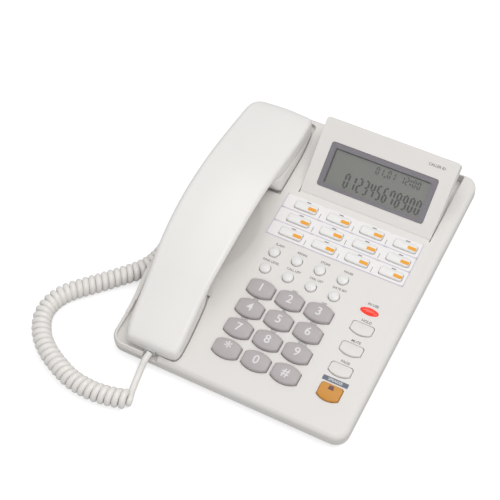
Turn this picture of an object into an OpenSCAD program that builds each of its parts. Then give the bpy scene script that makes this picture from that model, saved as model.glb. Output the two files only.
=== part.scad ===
// Corded desk telephone with a cradle on the left, a dial, memory and function
// keys on a sloping face, and a display module that folds up from the rear.
// +X runs to the right, +Y to the rear and +Z up. The feet stand on Z = 0.

/* [Body] */
// Width of the body, across the cradle and the keys
body_w = 180; // [178:1:200]
// Length of the sloping face, from the front rim to the rear rim
body_d = 232; // [231:1:250]
// How far each side of the body flares out towards the rear
side_flare = 2.4; // [0:0.1:3]
// Slope of the face above the table
face_tilt = 8; // [5:0.5:10]
// Height of the front rim above the table
front_h = 14; // [13.5:0.5:20]
// Depth of the top shell's skirt
skirt_h = 10; // [9:0.5:12]
// Plan radius of the body's corners
corner_r = 10; // [8:1:14]
// Radius of the rounded edge round the face
edge_r = 3; // [2.5:0.5:4]
// Wall of the two body shells
wall = 2.4; // [2:0.1:3]
// How far each side of the bottom shell narrows towards its floor
undercut = 8; // [4:1:10]
// Height of the rubber feet below the floor
foot_t = 1.5; // [1:0.5:3]
// Diameter of the rubber feet
foot_d = 12; // [8:1:16]
// Height of the rail along the cradle's outer edge
rail_h = 10; // [4:0.5:11]

/* [Keys] */
// Width of a dial key
dial_key_w = 19.7; // [15:0.1:20]
// Depth of a dial key
dial_key_d = 14.5; // [10:0.1:14.8]
// Pitch of the dial's columns
dial_pitch_x = 22.5; // [22.5:0.1:24]
// Pitch of the dial's rows
dial_pitch_y = 17.3; // [17.2:0.1:18]
// Width of a memory key
memory_key_w = 17.5; // [14:0.1:20]
// Depth of a memory key
memory_key_d = 7; // [5:0.1:8]
// Pitch of the memory keys' columns
memory_pitch_x = 26.2; // [25:0.1:27]
// Pitch of the memory keys' rows
memory_pitch_y = 12.6; // [11:0.1:12.8]
// Diameter of a function key
function_key_d = 8; // [6:0.1:10]
// Pitch of the function keys' columns
function_pitch_x = 18; // [15:0.1:19]
// Pitch of the function keys' rows
function_pitch_y = 14.7; // [13.5:0.1:15.5]
// Width of the side keys and the speaker key
side_key_w = 16; // [12:0.1:18]
// Depth of a side key
side_key_d = 9.5; // [7:0.1:11]
// Depth of the speaker key
speaker_key_d = 12.4; // [9:0.1:13]
// Height of the dial keys above the face
dial_rise = 2.8; // [1.5:0.1:4]
// Height of the other keys above the face
key_rise = 1.8; // [1:0.1:3]
// How far a key sinks when it is pressed
key_travel = 1.5; // [0.8:0.1:2]
// Clearance round a key in its opening
key_gap = 0.35; // [0.2:0.05:0.5]
// Thickness of a key's hidden flange
flange_t = 1.2; // [0.8:0.1:1.6]
// Overhang of a key's hidden flange
flange_w = 0.9; // [0.6:0.1:1]

/* [Display] */
// Width of the display module at its hinge
display_front_w = 103.2; // [96:0.2:104]
// Width of the display module at its free edge
display_rear_w = 105; // [102:0.2:105.4]
// Length of the display module from hinge axis to free edge
display_len = 57.6; // [54:0.2:57.8]
// Thickness of the display module
display_t = 9; // [8:0.5:10]
// Angle of the module above the face as it stands
display_angle = 30; // [15:1:40]
// Width of the display window
window_w = 84; // [70:1:86]
// Depth of the display window
window_d = 34; // [26:1:36]
// Thickness of the clear window
window_t = 1.2; // [1:0.1:1.4]
// Diameter of the hinge pins
hinge_pin_d = 4; // [3:0.2:4.4]
// Wall of the display covers
cover_wall = 1.8; // [1.5:0.1:2]

/* [Handset] */
// Width of the handset at its ear end
handset_w = 53.6; // [51:0.2:54]
// Length of the handset
handset_len = 221; // [217:1:221.5]
// Wall of the handset shells
handset_wall = 2; // [1.6:0.1:2.4]
// Depth of the wells that the two cups sit in
well_depth = 3.3; // [2.5:0.1:4]
// Clearance round the cups in their wells
well_gap = 0.8; // [0.6:0.1:1.2]
// Depth of the finger scoop below the face
scoop_depth = 6; // [3:0.5:7]
// Diameter of the earpiece capsule
earpiece_d = 34; // [26:1:38]
// Travel of the hook plunger
hook_travel = 5; // [3:0.5:6]

/* [Cord] */
// Diameter of the cord
cord_d = 4.4; // [3:0.1:4.6]
// Outer diameter of the coiled stretch
coil_d = 14.3; // [12:0.1:14.4]

/* [Hidden] */
fine = 48;
coarse = 32;
eps = 0.01;
seat_gap = 0.3;
bore_gap = 0.06;

digit_names = ["key_1", "key_2", "key_3", "key_4", "key_5", "key_6",
    "key_7", "key_8", "key_9", "key_star", "key_0", "key_hash"];
memory_names = [for (i = [1:12]) str("memory_key_", i)];
function_names = [for (i = [1:8]) str("function_key_", i)];
side_names = [for (i = [1:3]) str("side_key_", i)];

// Frame of the face: X right, Y up the slope from the front rim, Z out of the face.
face_y = -(body_d * cos(face_tilt) + skirt_h * sin(face_tilt)) / 2;
left_x = -body_w / 2;
// Reference line for the keys and the display, just outside the front right corner
right_x = body_w / 2 + 1.4;
// Height of the floor's underside, in the face's frame, under a point at s up the slope
function floor_h(s) = (foot_t - front_h - s * sin(face_tilt)) / cos(face_tilt);

// Key groups: centre of each group, from the right edge and the front rim
dial_x = right_x - 80;
dial_s = 54.5;
function_x = right_x - 80.9;
function_s = 104.6;
memory_x = right_x - 64.6;
memory_s = 143.3;
side_x = right_x - 25.6;
side_s = 64.4;
speaker_s = 28.9;
lens_s = 96.7;
lens_size = [13.5, 5.5];

// Layers under the face, counted down from it
flange_top = -wall - seat_gap;
flange_bottom = flange_top - flange_t;
dome_top = flange_bottom - key_travel - seat_gap;
dome_h = 2;
mat_t = 1.2;
board_top = dome_top - dome_h - mat_t;
board_t = 1.6;
board_left = right_x - 119;
board_right = right_x - 20;
board_front = 21;
board_rear = 160;

// Cradle: the handset's centre line, its front tip and the hook plunger
handset_x = left_x + 29.4;
handset_s = 4.5;
handset_floor = -well_depth + seat_gap;
mouth_well = [3.9, handset_s + 56 * handset_len / 221];
ear_well = [handset_s + 154 * handset_len / 221, handset_s + handset_len + 1.5];
rail_t = 3.2;
rim_t = 2.8;
trough_r = 7.5;
hook_s = handset_s + handset_len - 28;
hook_size = [8, 6];
plunger_len = 14;

// Finger scoop: a barrel-shaped dish between the wells
scoop_x = handset_x + 2;
scoop_s = 115;
scoop_half = 38;
scoop_axis_h = 50;

// Notch in the front rim for the cord
notch_left = handset_x - 2;
notch_w = 11.5;
notch_depth = 4.5;
plug_x = handset_x + 3;
plug_h = 0.8;
plug_size = [7.6, 12, 6];

// Display module: hinge axis and clearances
display_x = right_x - 63.3;
hinge_s = 171.5;
hinge_h = -display_t / 2 + 1;
recess_gap = 0.6;
recess_w = display_front_w + 2 * recess_gap;
recess_front = hinge_s - display_t / 2 - recess_gap;
recess_rear = hinge_s + display_len + recess_gap;
recess_floor = hinge_h - display_t / 2 - 0.8;
window_v = 24.3;
window_ledge = 2;
lcd_size = [window_w + 4, window_d + 3, 2.8];

// Screws: each stands square to the face, [x, s]
screw_places = [[right_x - 15, 17], [right_x - 118, 17], [right_x - 15, 118], [display_x - 60, 205]];
boss_d = 7;
boss_end = -7;
screw_d = 3;
head_d = 5.6;
head_t = 2;
screw_seat = 3;
board_posts = [[right_x - 117.4, 24], [right_x - 40, 24], [right_x - 116, 92],
    [right_x - 40, 92], [right_x - 116, 121], [right_x - 40, 121]];

// Bottom shell
seam_in = 1;
rear_undercut = 4;
base_w = body_w - 2 * seam_in - 2 * undercut;
seam_front_y = face_y + seam_in * cos(face_tilt) + skirt_h * sin(face_tilt);
seam_rear_y = face_y + (body_d - seam_in) * cos(face_tilt) + skirt_h * sin(face_tilt);
base_front_y = seam_front_y + undercut;
base_rear_y = seam_rear_y - rear_undercut;
floor_top = foot_t + wall;
foot_x = base_w / 2 - 15;
foot_y = [base_front_y + 16, base_rear_y - 15];
foot_sink = 1;
speaker_x = 25;
speaker_y = 30;
speaker_d = 50;

// Modular jacks, each [width, depth, height], and the cavities in them
line_jack = [13.2, 14, 11.8];
line_cavity = [9.8, 10, 6.8];
line_jack_x = right_x - 45;
cord_jack = [11.2, 12, 10.4];
cord_cavity = [7.8, 11, 6.2];
cord_jack_y = 50;
line_face_y = base_rear_y + 1;
cord_face_x = -base_w / 2 - 1.5;
jack_z = floor_top;
plug_out = 2;

// Handset, each against the distance from the mouth tip: heights of its back and of its
// underside, how far its two sides lie from the centre line, and how far each side
// draws in towards the underside
handset_stations = [0, 0.5, 1.5, 3, 5.5, 8.5, 12, 16, 20, 26, 33, 40, 46, 49, 50, 51, 52, 53, 54.5, 56, 58, 61, 65,
    72, 80, 92, 104, 116, 128, 140, 146, 149, 151, 152.5, 154, 155.5, 157, 158, 160, 167, 178, 190, 200,
    207, 212, 215.5, 218, 219.5, 220.4, 221];
back_line = [[0, 6.4], [0.5, 7.2], [1.5, 8.4], [3, 9.4], [5.5, 10.4], [11.5, 12.1], [18.5, 14], [26.5, 16], [33.5, 18],
    [40.5, 20.2], [47.5, 22.5], [55.5, 24.9], [64.5, 26.9], [70.5, 27.9], [82.5, 29.4], [95.5, 30.6],
    [109.5, 31.3], [122.5, 31.5], [136.5, 31.1], [146.5, 30.2], [156.5, 28.8], [165.5, 27.1], [175.5, 25],
    [185.5, 22.8], [196.5, 20.2], [207.5, 17.3], [213.5, 15.2], [217.5, 12.8], [219.5, 10.6], [220.5, 8.6], [221, 6.6]];
under_line = [[0, -1.6], [0.8, -2.7], [2, -3], [49, -3], [51, 3], [53, 9], [55, 12.8], [58, 14.8], [66, 16.2],
    [80, 17.6], [100, 18.6], [125, 19], [144, 18.8], [149, 16.4], [152, 10], [155, 2.5], [157, -3], [217, -3],
    [219.5, -2], [221, 0.5]];
left_line = [[0, -15], [0.5, -16], [1.5, -16.9], [5.5, -18.4], [11.5, -19.6], [18.5, -20.6], [26.5, -21.2], [33.5, -21.7],
    [40.5, -22.3], [47.5, -22.9], [55.5, -23.8], [64.5, -25], [75.5, -26.3], [89.5, -27.6], [102.5, -28.3],
    [115.5, -28.8], [207.5, -28.8], [212, -28.2], [215.5, -26.7], [218, -24.6], [219.5, -22.4], [221, -18]];
right_line = [[0, 18.5], [0.5, 20], [1.5, 21.6], [3, 22.6], [5.5, 23.2], [15.5, 23.2], [25.5, 23], [40.5, 22.6],
    [55.5, 23], [70.5, 23.6], [95.5, 23.9], [125.5, 24.1], [145.5, 24.8], [190.5, 24.8], [200.5, 24.1],
    [207.5, 23.3], [213.5, 22.4], [217.5, 21], [219.5, 19.2], [221, 15.5]];
left_draft = [[0, 0], [8, 0.2], [52, 3], [60, 4.4], [145, 4.6], [157, 5.4], [212, 5.4], [216, 4], [221, 1]];
right_draft = [[0, 0], [8, 0], [19.5, 0.5], [27.5, 1.1], [36.5, 1.7], [44.5, 2.5], [52.5, 4.4], [145, 4.4],
    [157, 0.2], [221, 0.2]];
seam_line = [[-5, 3.8], [12, 4.2], [26, 7.4], [40, 11.4], [50, 16.4], [62, 18.8], [80, 20.8], [100, 22], [143, 22],
    [152, 20.2], [165, 15], [185, 10.5], [205, 6.8], [226, 4]];
width_scale = handset_w / 53.6;
handset_scale = handset_len / 221;
crown = 1.2;
handset_screws_u = [39, 161];
handset_boss_end = 8;
earpiece_u = 186;
microphone_u = 28;

// Cord route: round points, from the handset's plug to the body's jack
lead_route = [[-57.6, -112.7, 15.3], [-58.6, -117.4, 13.4], [-59.4, -122.5, 8.6], [-59.2, -128.5, 5],
    [-57.6, -134, 4], [-54.9, -138.6, 4.2], [-51.6, -142.2, 5.2], [-50, -145.2, 6.4], [-53.6, -147.4, 7.2]];
coil_route = [[-53.6, -147.4, 7.2], [-62.7, -150.3, 7.2], [-74, -152.6, 7.2], [-85.6, -153, 7.2], [-98.6, -151.2, 7.2],
    [-111.7, -146.2, 7.2], [-122.9, -140.4, 7.2], [-132.2, -133.6, 7.2], [-139, -125.8, 7.2], [-143.8, -117, 7.2],
    [-145.4, -108.6, 7.2], [-144.2, -100, 7.2], [-140.6, -91.6, 7.2], [-134.1, -83.2, 7.2], [-124.2, -72.4, 7.2],
    [-114, -60.6, 7.2], [-104.2, -48.6, 7.2], [-98.8, -38, 7.2], [-96.8, -25, 7.2], [-96.6, -7, 7.2],
    [-96.6, 11, 7.2], [-96.6, 29, 7.2]];
base_route = [[-96.6, 29, 7.2], [-96.6, 36, 7.6], [-95.6, 42.5, 8.4], [-92, 48.7, 9], [-84.8, 50, 9.1]];
plug_dir = [0, -cos(face_tilt), -sin(face_tilt)];

// ---- Shapes shared by several pieces ----

module rounded_rect(w, d, r) {
    square([w - 2 * r, d], center = true);
    square([w, d - 2 * r], center = true);
    for (i = [-1, 1], j = [-1, 1])
        translate([i * (w / 2 - r), j * (d / 2 - r)]) circle(r = r, $fn = coarse);
}

module on_face() {
    translate([0, face_y, front_h]) rotate([face_tilt, 0, 0]) children();
}

function arc(centre, r, from, to, steps) = [for (i = [0:steps])
    let (a = from + (to - from) * i / steps) centre + r * [cos(a), sin(a)]];

// Outline of the body, drawn in by inset
function body_outline(inset) = let (r = corner_r - min(inset, corner_r - 1),
    front = body_w / 2 - inset - r, rear = front + side_flare, far = body_d - inset - r) concat(
    arc([-front, inset + r], r, 180, 270, 8), arc([front, inset + r], r, 270, 360, 8),
    arc([rear, far], r, 0, 90, 8), arc([-rear, far], r, 90, 180, 8));

// A plate with the body's outline, drawn in by inset, from height h down by t
module face_plate(inset, h, t) {
    translate([0, 0, h - t]) linear_extrude(t) polygon(body_outline(inset));
}

// Box between two corners
module box(low, high) {
    translate(low) cube(high - low);
}

// Barrel-shaped key outline: straight ends, bulging long edges
module dial_outline(w, d) {
    bulge = 18;
    intersection() {
        rounded_rect(w, d, 4.2);
        translate([0, d / 2 - bulge]) circle(r = bulge, $fn = 96);
        translate([0, bulge - d / 2]) circle(r = bulge, $fn = 96);
    }
}

// Side key outline: straight rear edge, curved front edge
module boat_outline(w, d) {
    curve = 14;
    intersection() {
        rounded_rect(w, d, 2);
        translate([0, curve - d / 2]) circle(r = curve, $fn = 96);
    }
}

module key_outline(kind, w, d) {
    if (kind == "dial") dial_outline(w, d);
    if (kind == "bar") rounded_rect(w, d, 1.8);
    if (kind == "round") circle(d = w, $fn = fine);
    if (kind == "boat") boat_outline(w, d);
}

// A key at [x, s]: flange under the face, cap through it and a drawn-in crown
module key(kind, place, w, d, rise) {
    crown_t = 0.6;
    translate([place[0], place[1], 0]) {
        translate([0, 0, flange_bottom]) linear_extrude(flange_t)
            key_outline(kind, w + 2 * flange_w, d + 2 * flange_w);
        translate([0, 0, flange_top - eps]) linear_extrude(rise - crown_t - flange_top + eps)
            key_outline(kind, w, d);
        translate([0, 0, rise - crown_t - eps]) linear_extrude(crown_t + eps)
            key_outline(kind, w - 2 * crown_t, d - 2 * crown_t);
    }
}

module key_opening(kind, place, w, d) {
    translate([place[0], place[1], -wall - 1]) linear_extrude(wall + 2)
        key_outline(kind, w + 2 * key_gap, d + 2 * key_gap);
}

// Grid place of key i: columns from the left, rows from the rear
function grid(i, columns, rows, centre, pitch) = [
    centre[0] + (i % columns - (columns - 1) / 2) * pitch[0],
    centre[1] + ((rows - 1) / 2 - floor(i / columns)) * pitch[1]];
function dial_place(i) = grid(i, 3, 4, [dial_x, dial_s], [dial_pitch_x, dial_pitch_y]);
function memory_place(i) = grid(i, 4, 3, [memory_x, memory_s], [memory_pitch_x, memory_pitch_y]);
function function_place(i) = grid(i, 4, 2, [function_x, function_s], [function_pitch_x, function_pitch_y]);
function side_place(i) = [side_x, side_s + (1 - i) * dial_pitch_y];
speaker_place = [side_x + 0.5, speaker_s];

// Each key as [kind, place, width, depth, rise]
function dial_spec(i) = ["dial", dial_place(i), dial_key_w, dial_key_d, dial_rise];
function memory_spec(i) = ["bar", memory_place(i), memory_key_w, memory_key_d, key_rise];
function function_spec(i) = ["round", function_place(i), function_key_d, function_key_d, key_rise];
function side_spec(i) = ["boat", side_place(i), side_key_w, side_key_d, key_rise];
speaker_spec = ["boat", speaker_place, side_key_w, speaker_key_d, key_rise];
key_specs = concat([for (i = [0:11]) dial_spec(i)], [for (i = [0:11]) memory_spec(i)],
    [for (i = [0:7]) function_spec(i)], [for (i = [0:2]) side_spec(i)], [speaker_spec]);

module key_body(spec, paint) {
    color(paint) on_face() key(spec[0], spec[1], spec[2], spec[3], spec[4]);
}

// ---- Body ----

// Barrel-shaped dish, grown outwards by extra; its axis runs along the face
module scoop(extra) {
    steps = 10;
    translate([scoop_x, scoop_s, scoop_axis_h]) rotate([-90, 0, 0]) rotate_extrude($fn = 96)
        polygon(concat([[0, -scoop_half - extra]],
            [for (i = [-steps:steps]) let (y = i / steps)
                [scoop_axis_h + scoop_depth * (1 - y * y) + extra, y * (scoop_half + extra)]],
            [[0, scoop_half + extra]]));
}

// Sides of the handset's cups low down, at u from the mouth tip
function cup_left(u) = handset_x + (lookup(u, left_line) + lookup(u, left_draft)) * width_scale;
function cup_right(u) = handset_x + (lookup(u, right_line) - lookup(u, right_draft)) * width_scale;
function cup_point(x, u) = [x, handset_s + u * handset_scale];

// Trough under the mouth cup: wide on the left and at the front, close to the cup on the right
trough_left = left_x + rim_t;
trough_front = rim_t - 0.6;
mouth_outline = concat([[notch_left + 1, trough_front]],
    [for (p = arc([trough_left + trough_r, trough_front + trough_r], trough_r, 270, 180, 6)) p],
    [[trough_left, mouth_well[1]]],
    [for (u = [56, 53, 50, 46, 40, 33, 26, 20, 15, 10, 6, 3]) cup_point(cup_right(u) + well_gap, u)],
    [[cup_right(1.5) + well_gap, handset_s + 0.6], [cup_right(0.5) + 0.2, mouth_well[0] + 0.1],
    [cup_right(0) - 1, mouth_well[0]], [notch_left + 1, mouth_well[0]]]);

// Well under the ear cup
ear_outline = concat([[cup_left(190) - well_gap - 0.2, ear_well[0]], [cup_right(157) + well_gap, ear_well[0]]],
    [for (u = [157, 165, 175, 185, 190.5, 195, 200.5, 207.5, 213]) cup_point(cup_right(u) + well_gap, u)],
    [for (p = arc([cup_right(213) + well_gap - 4, ear_well[1] - 4], 4, 0, 90, 4)) p],
    [for (p = arc([cup_left(190) - well_gap + 5.8, ear_well[1] - 6], 6, 90, 180, 5)) p]);

module wells(extra) {
    translate([0, 0, -well_depth - extra]) linear_extrude(well_depth + (extra > 0 ? 0 : 2))
        offset(r = extra * 0.98) {
            polygon(mouth_outline);
            polygon(ear_outline);
        }
}

// Rail along the cradle's outer edge: its height against the distance from the front rim
rail_line = [[24, 0], [30, 0.6], [40, 3.6], [48, 7.4], [56, 9.6], [64, 10], [140, 10], [170, 6], [200, 2.5], [214, 0]];
module cradle_rail() {
    top = [for (p = rail_line) [p[0], p[1] * rail_h / 10]];
    translate([left_x + 0.3, 0, 0]) rotate([90, 0, 90]) linear_extrude(rail_t)
        polygon(concat([[214, -edge_r - 0.5], [24, -edge_r - 0.5]], top));
}

// Recess for the display module, grown by extra, from h0 to h1
module display_bay(extra, h0, h1) {
    front = display_front_w / 2 + recess_gap + extra;
    rear = display_rear_w / 2 + recess_gap + extra;
    translate([display_x, 0, h0]) linear_extrude(h1 - h0)
        polygon([[-front, recess_front - extra], [front, recess_front - extra], [rear, recess_rear + min(extra, 1)],
            [-rear, recess_rear + min(extra, 1)]]);
}

module display_recess() {
    display_bay(0, recess_floor, 5);
}

module display_tub() {
    display_bay(wall, recess_floor - 1.1, -wall / 2);
}

module hinge_bores() {
    translate([display_x, hinge_s, hinge_h]) rotate([0, 90, 0])
        cylinder(d = hinge_pin_d + 2 * bore_gap, h = recess_w + 2 * wall + 2, center = true, $fn = fine);
}

module lens_outline(extra) {
    a = lens_size[0] / 2 + extra;
    b = lens_size[1] / 2 + extra;
    polygon([for (i = [0:31]) [a * cos(i * 360 / 32), b * sin(i * 360 / 32)]]);
}

module top_shell() {
    color("whitesmoke") on_face() difference() {
        union() {
            difference() {
                hull() {
                    face_plate(0, -edge_r, skirt_h - edge_r);
                    face_plate(edge_r * 0.08, -edge_r * 0.62, eps);
                    face_plate(edge_r * 0.38, -edge_r * 0.22, eps);
                    face_plate(edge_r, 0, eps);
                }
                face_plate(wall, -wall, skirt_h);
            }
            wells(wall);
            intersection() {
                scoop(wall);
                face_plate(wall / 2, -wall / 2, skirt_h);
            }
            cradle_rail();
            display_tub();
            for (p = screw_places)
                translate([p[0], p[1], boss_end]) cylinder(d = boss_d, h = -boss_end - wall / 2, $fn = coarse);
            for (p = board_posts)
                translate([p[0], p[1], board_top]) cylinder(d = 5, h = -board_top - wall / 2, $fn = coarse);
        }
        wells(0);
        scoop(0);
        display_recess();
        hinge_bores();
        for (spec = key_specs) key_opening(spec[0], spec[1], spec[2], spec[3]);
        translate([side_x - 0.9, lens_s, -wall - 1]) linear_extrude(wall + 2) lens_outline(0.2);
        box([notch_left, -1, -notch_depth], [notch_left + notch_w, mouth_well[0] + 4, 5]);
        box([handset_x - hook_size[0] / 2 - seat_gap, hook_s - hook_size[1] / 2 - seat_gap, -well_depth - wall - 1],
            [handset_x + hook_size[0] / 2 + seat_gap, hook_s + hook_size[1] / 2 + seat_gap, 1]);
        for (p = screw_places)
            translate([p[0], p[1], boss_end - 1]) cylinder(d = screw_d + 0.1, h = 6, $fn = coarse);
    }
}

// Rounded outline of the floor, drawn in by inset, at height z
module floor_plate(inset, z) {
    translate([0, (base_front_y + base_rear_y) / 2, z]) linear_extrude(eps)
        rounded_rect(base_w - 2 * inset, base_rear_y - base_front_y - 2 * inset, corner_r - min(inset, corner_r - 1));
}

// Tapered tub between the floor and the seam under the skirt
module tub(inset, z, lift) {
    hull() {
        floor_plate(inset, z);
        on_face() face_plate(seam_in + inset, -skirt_h + lift, eps);
    }
}

module speaker_slots() {
    slots = 6;
    slot_pitch = 6.5;
    for (i = [0:slots - 1])
        let (x = (i - (slots - 1) / 2) * slot_pitch, half = sqrt(pow(speaker_d / 2 - 4, 2) - x * x))
            box([speaker_x + x - 1.4, speaker_y - half, 0], [speaker_x + x + 1.4, speaker_y + half, floor_top + 1]);
}

module bottom_shell() {
    color("gainsboro") difference() {
        union() {
            difference() {
                tub(0, foot_t, 0);
                tub(wall, floor_top, 1);
            }
            translate([speaker_x, speaker_y, floor_top - eps]) difference() {
                cylinder(d = speaker_d + 4.6, h = 4, $fn = 96);
                translate([0, 0, -1]) cylinder(d = speaker_d + 0.6, h = 6, $fn = 96);
            }
            on_face() for (p = screw_places)
                translate([p[0], p[1], floor_h(p[1]) + 1.2])
                    cylinder(d = boss_d, h = boss_end - floor_h(p[1]) - 1.2, $fn = coarse);
        }
        speaker_slots();
        on_face() for (p = screw_places) {
            translate([p[0], p[1], floor_h(p[1]) - 2])
                cylinder(d = head_d + 0.6, h = boss_end - screw_seat - floor_h(p[1]) + 2, $fn = coarse);
            translate([p[0], p[1], boss_end - screw_seat - 1]) cylinder(d = screw_d + 0.3, h = screw_seat + 2, $fn = coarse);
        }
        for (i = [-1, 1], y = foot_y)
            translate([i * foot_x, y, foot_t - 1]) cylinder(d = foot_d + 0.1, h = 1 + foot_sink, $fn = coarse);
        box([line_jack_x - line_jack[0] / 2 - 0.3, line_face_y - 8, jack_z],
            [line_jack_x + line_jack[0] / 2 + 0.3, line_face_y + 20, jack_z + line_jack[2] + 0.3]);
        box([cord_face_x - 20, cord_jack_y - cord_jack[0] / 2 - 0.3, jack_z],
            [cord_face_x + 8, cord_jack_y + cord_jack[0] / 2 + 0.3, jack_z + cord_jack[2] + 0.3]);
    }
}

module rubber_feet() {
    color("dimgray") for (i = [-1, 1], y = foot_y)
        translate([i * foot_x, y, 0]) cylinder(d = foot_d, h = foot_t + foot_sink, $fn = coarse);
}

module screw(shank) {
    difference() {
        translate([0, 0, -head_t]) cylinder(d = head_d, h = head_t, $fn = coarse);
        for (a = [0, 90]) rotate([0, 0, a]) box([-1.8, -0.4, -head_t - 1], [1.8, 0.4, -head_t + 1]);
    }
    translate([0, 0, -eps]) cylinder(d = screw_d, h = shank + eps, $fn = coarse);
}

module shell_screws() {
    color("silver") on_face() for (p = screw_places)
        translate([p[0], p[1], boss_end - screw_seat]) screw(screw_seat + 4);
}

module circuit_board() {
    color("seagreen") on_face() {
        box([board_left, board_front, board_top - board_t], [board_right, board_rear, board_top]);
        // Parts on its underside, each measured from the board's left and front edges
        for (c = [[49, 99, 14, 14, 2], [19, 117, 10, 18, 3], [79, 125, 16, 8, 6]])
            translate([board_left + c[0] - c[2] / 2, board_front + c[1] - c[3] / 2, board_top - board_t - c[4]])
                cube([c[2], c[3], c[4] + eps]);
        for (c = [[15, 91, 8], [93, 109, 6.3]])
            translate([board_left + c[0], board_front + c[1], board_top - board_t - 5])
                cylinder(d = c[2], h = 5 + eps, $fn = coarse);
    }
}

module key_mat() {
    color("lightgray") on_face() {
        difference() {
            box([board_left + 1, board_front + 1, board_top], [board_right - 1, board_rear - 1, board_top + mat_t]);
            for (p = board_posts)
                translate([p[0], p[1], board_top - 1]) cylinder(d = 5.8, h = mat_t + 2, $fn = coarse);
        }
        for (spec = key_specs)
            translate([spec[1][0], spec[1][1], board_top + mat_t - eps])
                cylinder(d1 = min(7.6, spec[3] - 0.4), d2 = 4.4, h = dome_h + eps, $fn = coarse);
    }
}

module loudspeaker() {
    color("darkslategray") translate([speaker_x, speaker_y, floor_top]) {
        difference() {
            union() {
                cylinder(d = speaker_d, h = 2, $fn = 96);
                translate([0, 0, 2 - eps]) cylinder(d1 = speaker_d - 8, d2 = 26, h = 8, $fn = 96);
            }
            translate([0, 0, -1]) cylinder(d1 = speaker_d - 4, d2 = 20, h = 9, $fn = 96);
        }
        translate([0, 0, 9]) cylinder(d = 28, h = 6, $fn = fine);
    }
}

// Modular jack with its opening on the -Y side; place is the middle of the face, on the floor
module modular_jack(size, cavity) {
    difference() {
        box([-size[0] / 2, 0, 0], [size[0] / 2, size[1], size[2]]);
        translate([0, 0, size[2] / 2]) {
            box([-cavity[0] / 2, -1, -cavity[2] / 2], [cavity[0] / 2, cavity[1], cavity[2] / 2]);
            box([-1.7, -1, -cavity[2] / 2 - 1.2], [1.7, cavity[1] - 3, 0]);
        }
    }
}

module modular_jacks() {
    color("darkgray") {
        translate([line_jack_x, line_face_y, jack_z]) rotate([0, 0, 180]) modular_jack(line_jack, line_cavity);
        translate([cord_face_x, cord_jack_y, jack_z]) rotate([0, 0, -90]) modular_jack(cord_jack, cord_cavity);
    }
}

module in_use_lens() {
    color("red") on_face() translate([side_x - 0.9, lens_s, 0]) {
        translate([0, 0, flange_bottom]) linear_extrude(-wall - flange_bottom) lens_outline(0.8);
        translate([0, 0, -wall - eps]) linear_extrude(wall + 0.7) lens_outline(0);
        translate([0, 0, 0.6]) linear_extrude(0.4) lens_outline(-0.7);
    }
}

module hook_plunger() {
    color("whitesmoke") on_face() translate([handset_x, hook_s, -well_depth]) {
        box([-hook_size[0] / 2, -hook_size[1] / 2, -plunger_len], [hook_size[0] / 2, hook_size[1] / 2, 0]);
        box([-hook_size[0] / 2 - 1.2, -hook_size[1] / 2 - 1.2, -wall - hook_travel - seat_gap - 1.4],
            [hook_size[0] / 2 + 1.2, hook_size[1] / 2 + 1.2, -wall - hook_travel - seat_gap]);
    }
}

// ---- Display module: origin on the hinge axis, Y towards the free edge ----

module on_hinge() {
    on_face() translate([display_x, hinge_s, hinge_h]) rotate([display_angle, 0, 0]) children();
}

// Outline of the module, drawn in by inset, from the hinge axis to the free edge
module display_outline(inset) {
    rear_r = 2.4;
    hull() {
        translate([-display_front_w / 2 + inset, inset > 0 ? 3 : 0]) square([display_front_w - 2 * inset, 1]);
        for (i = [-1, 1])
            translate([i * (display_rear_w / 2 - rear_r), display_len - rear_r])
                circle(r = rear_r - inset, $fn = coarse);
    }
}

// Half of the module above or below the axis plane: its plate and half of its round nose
module display_half(side) {
    half_t = display_t / 2;
    translate([0, 0, side > 0 ? 0 : -half_t]) linear_extrude(half_t) display_outline(0);
    intersection() {
        rotate([0, 90, 0]) cylinder(d = display_t, h = display_front_w, center = true, $fn = fine);
        box([-display_front_w, -display_t, side > 0 ? 0 : -display_t],
            [display_front_w, 1, side > 0 ? display_t : 0]);
    }
}

module display_front() {
    color("whitesmoke") on_hinge() difference() {
        display_half(1);
        translate([0, 0, -1]) linear_extrude(display_t / 2 - cover_wall + 1) display_outline(cover_wall);
        translate([0, window_v, 0]) {
            translate([0, 0, -1]) linear_extrude(display_t)
                rounded_rect(window_w - 2 * window_ledge, window_d - 2 * window_ledge, 1);
            translate([0, 0, display_t / 2 - window_t]) linear_extrude(display_t)
                rounded_rect(window_w + 0.2, window_d + 0.2, 2.1);
        }
        rotate([0, 90, 0]) cylinder(d = hinge_pin_d + 0.2, h = display_front_w + 2, center = true, $fn = fine);
    }
}

module display_back() {
    color("whitesmoke") on_hinge() {
        difference() {
            display_half(-1);
            translate([0, 0, -display_t / 2 + cover_wall]) linear_extrude(display_t) display_outline(cover_wall);
        }
        rotate([0, 90, 0]) cylinder(d = hinge_pin_d, h = recess_w + 2 * wall - 0.6, center = true, $fn = fine);
    }
}

module display_window() {
    color("lightsteelblue") on_hinge() translate([0, window_v, display_t / 2 - window_t])
        linear_extrude(window_t) rounded_rect(window_w, window_d, 2);
}

module lcd_panel() {
    top = display_t / 2 - cover_wall - seat_gap;
    color("darkseagreen") on_hinge() translate([0, window_v, top - lcd_size[2]]) {
        box([-lcd_size[0] / 2, -lcd_size[1] / 2, 0], lcd_size - [lcd_size[0] / 2, lcd_size[1] / 2, 0]);
        box([-lcd_size[0] / 2, -lcd_size[1] / 2 - 2, -1], [lcd_size[0] / 2, lcd_size[1] / 2 + 2, eps]);
    }
}

// ---- Handset ----

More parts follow.
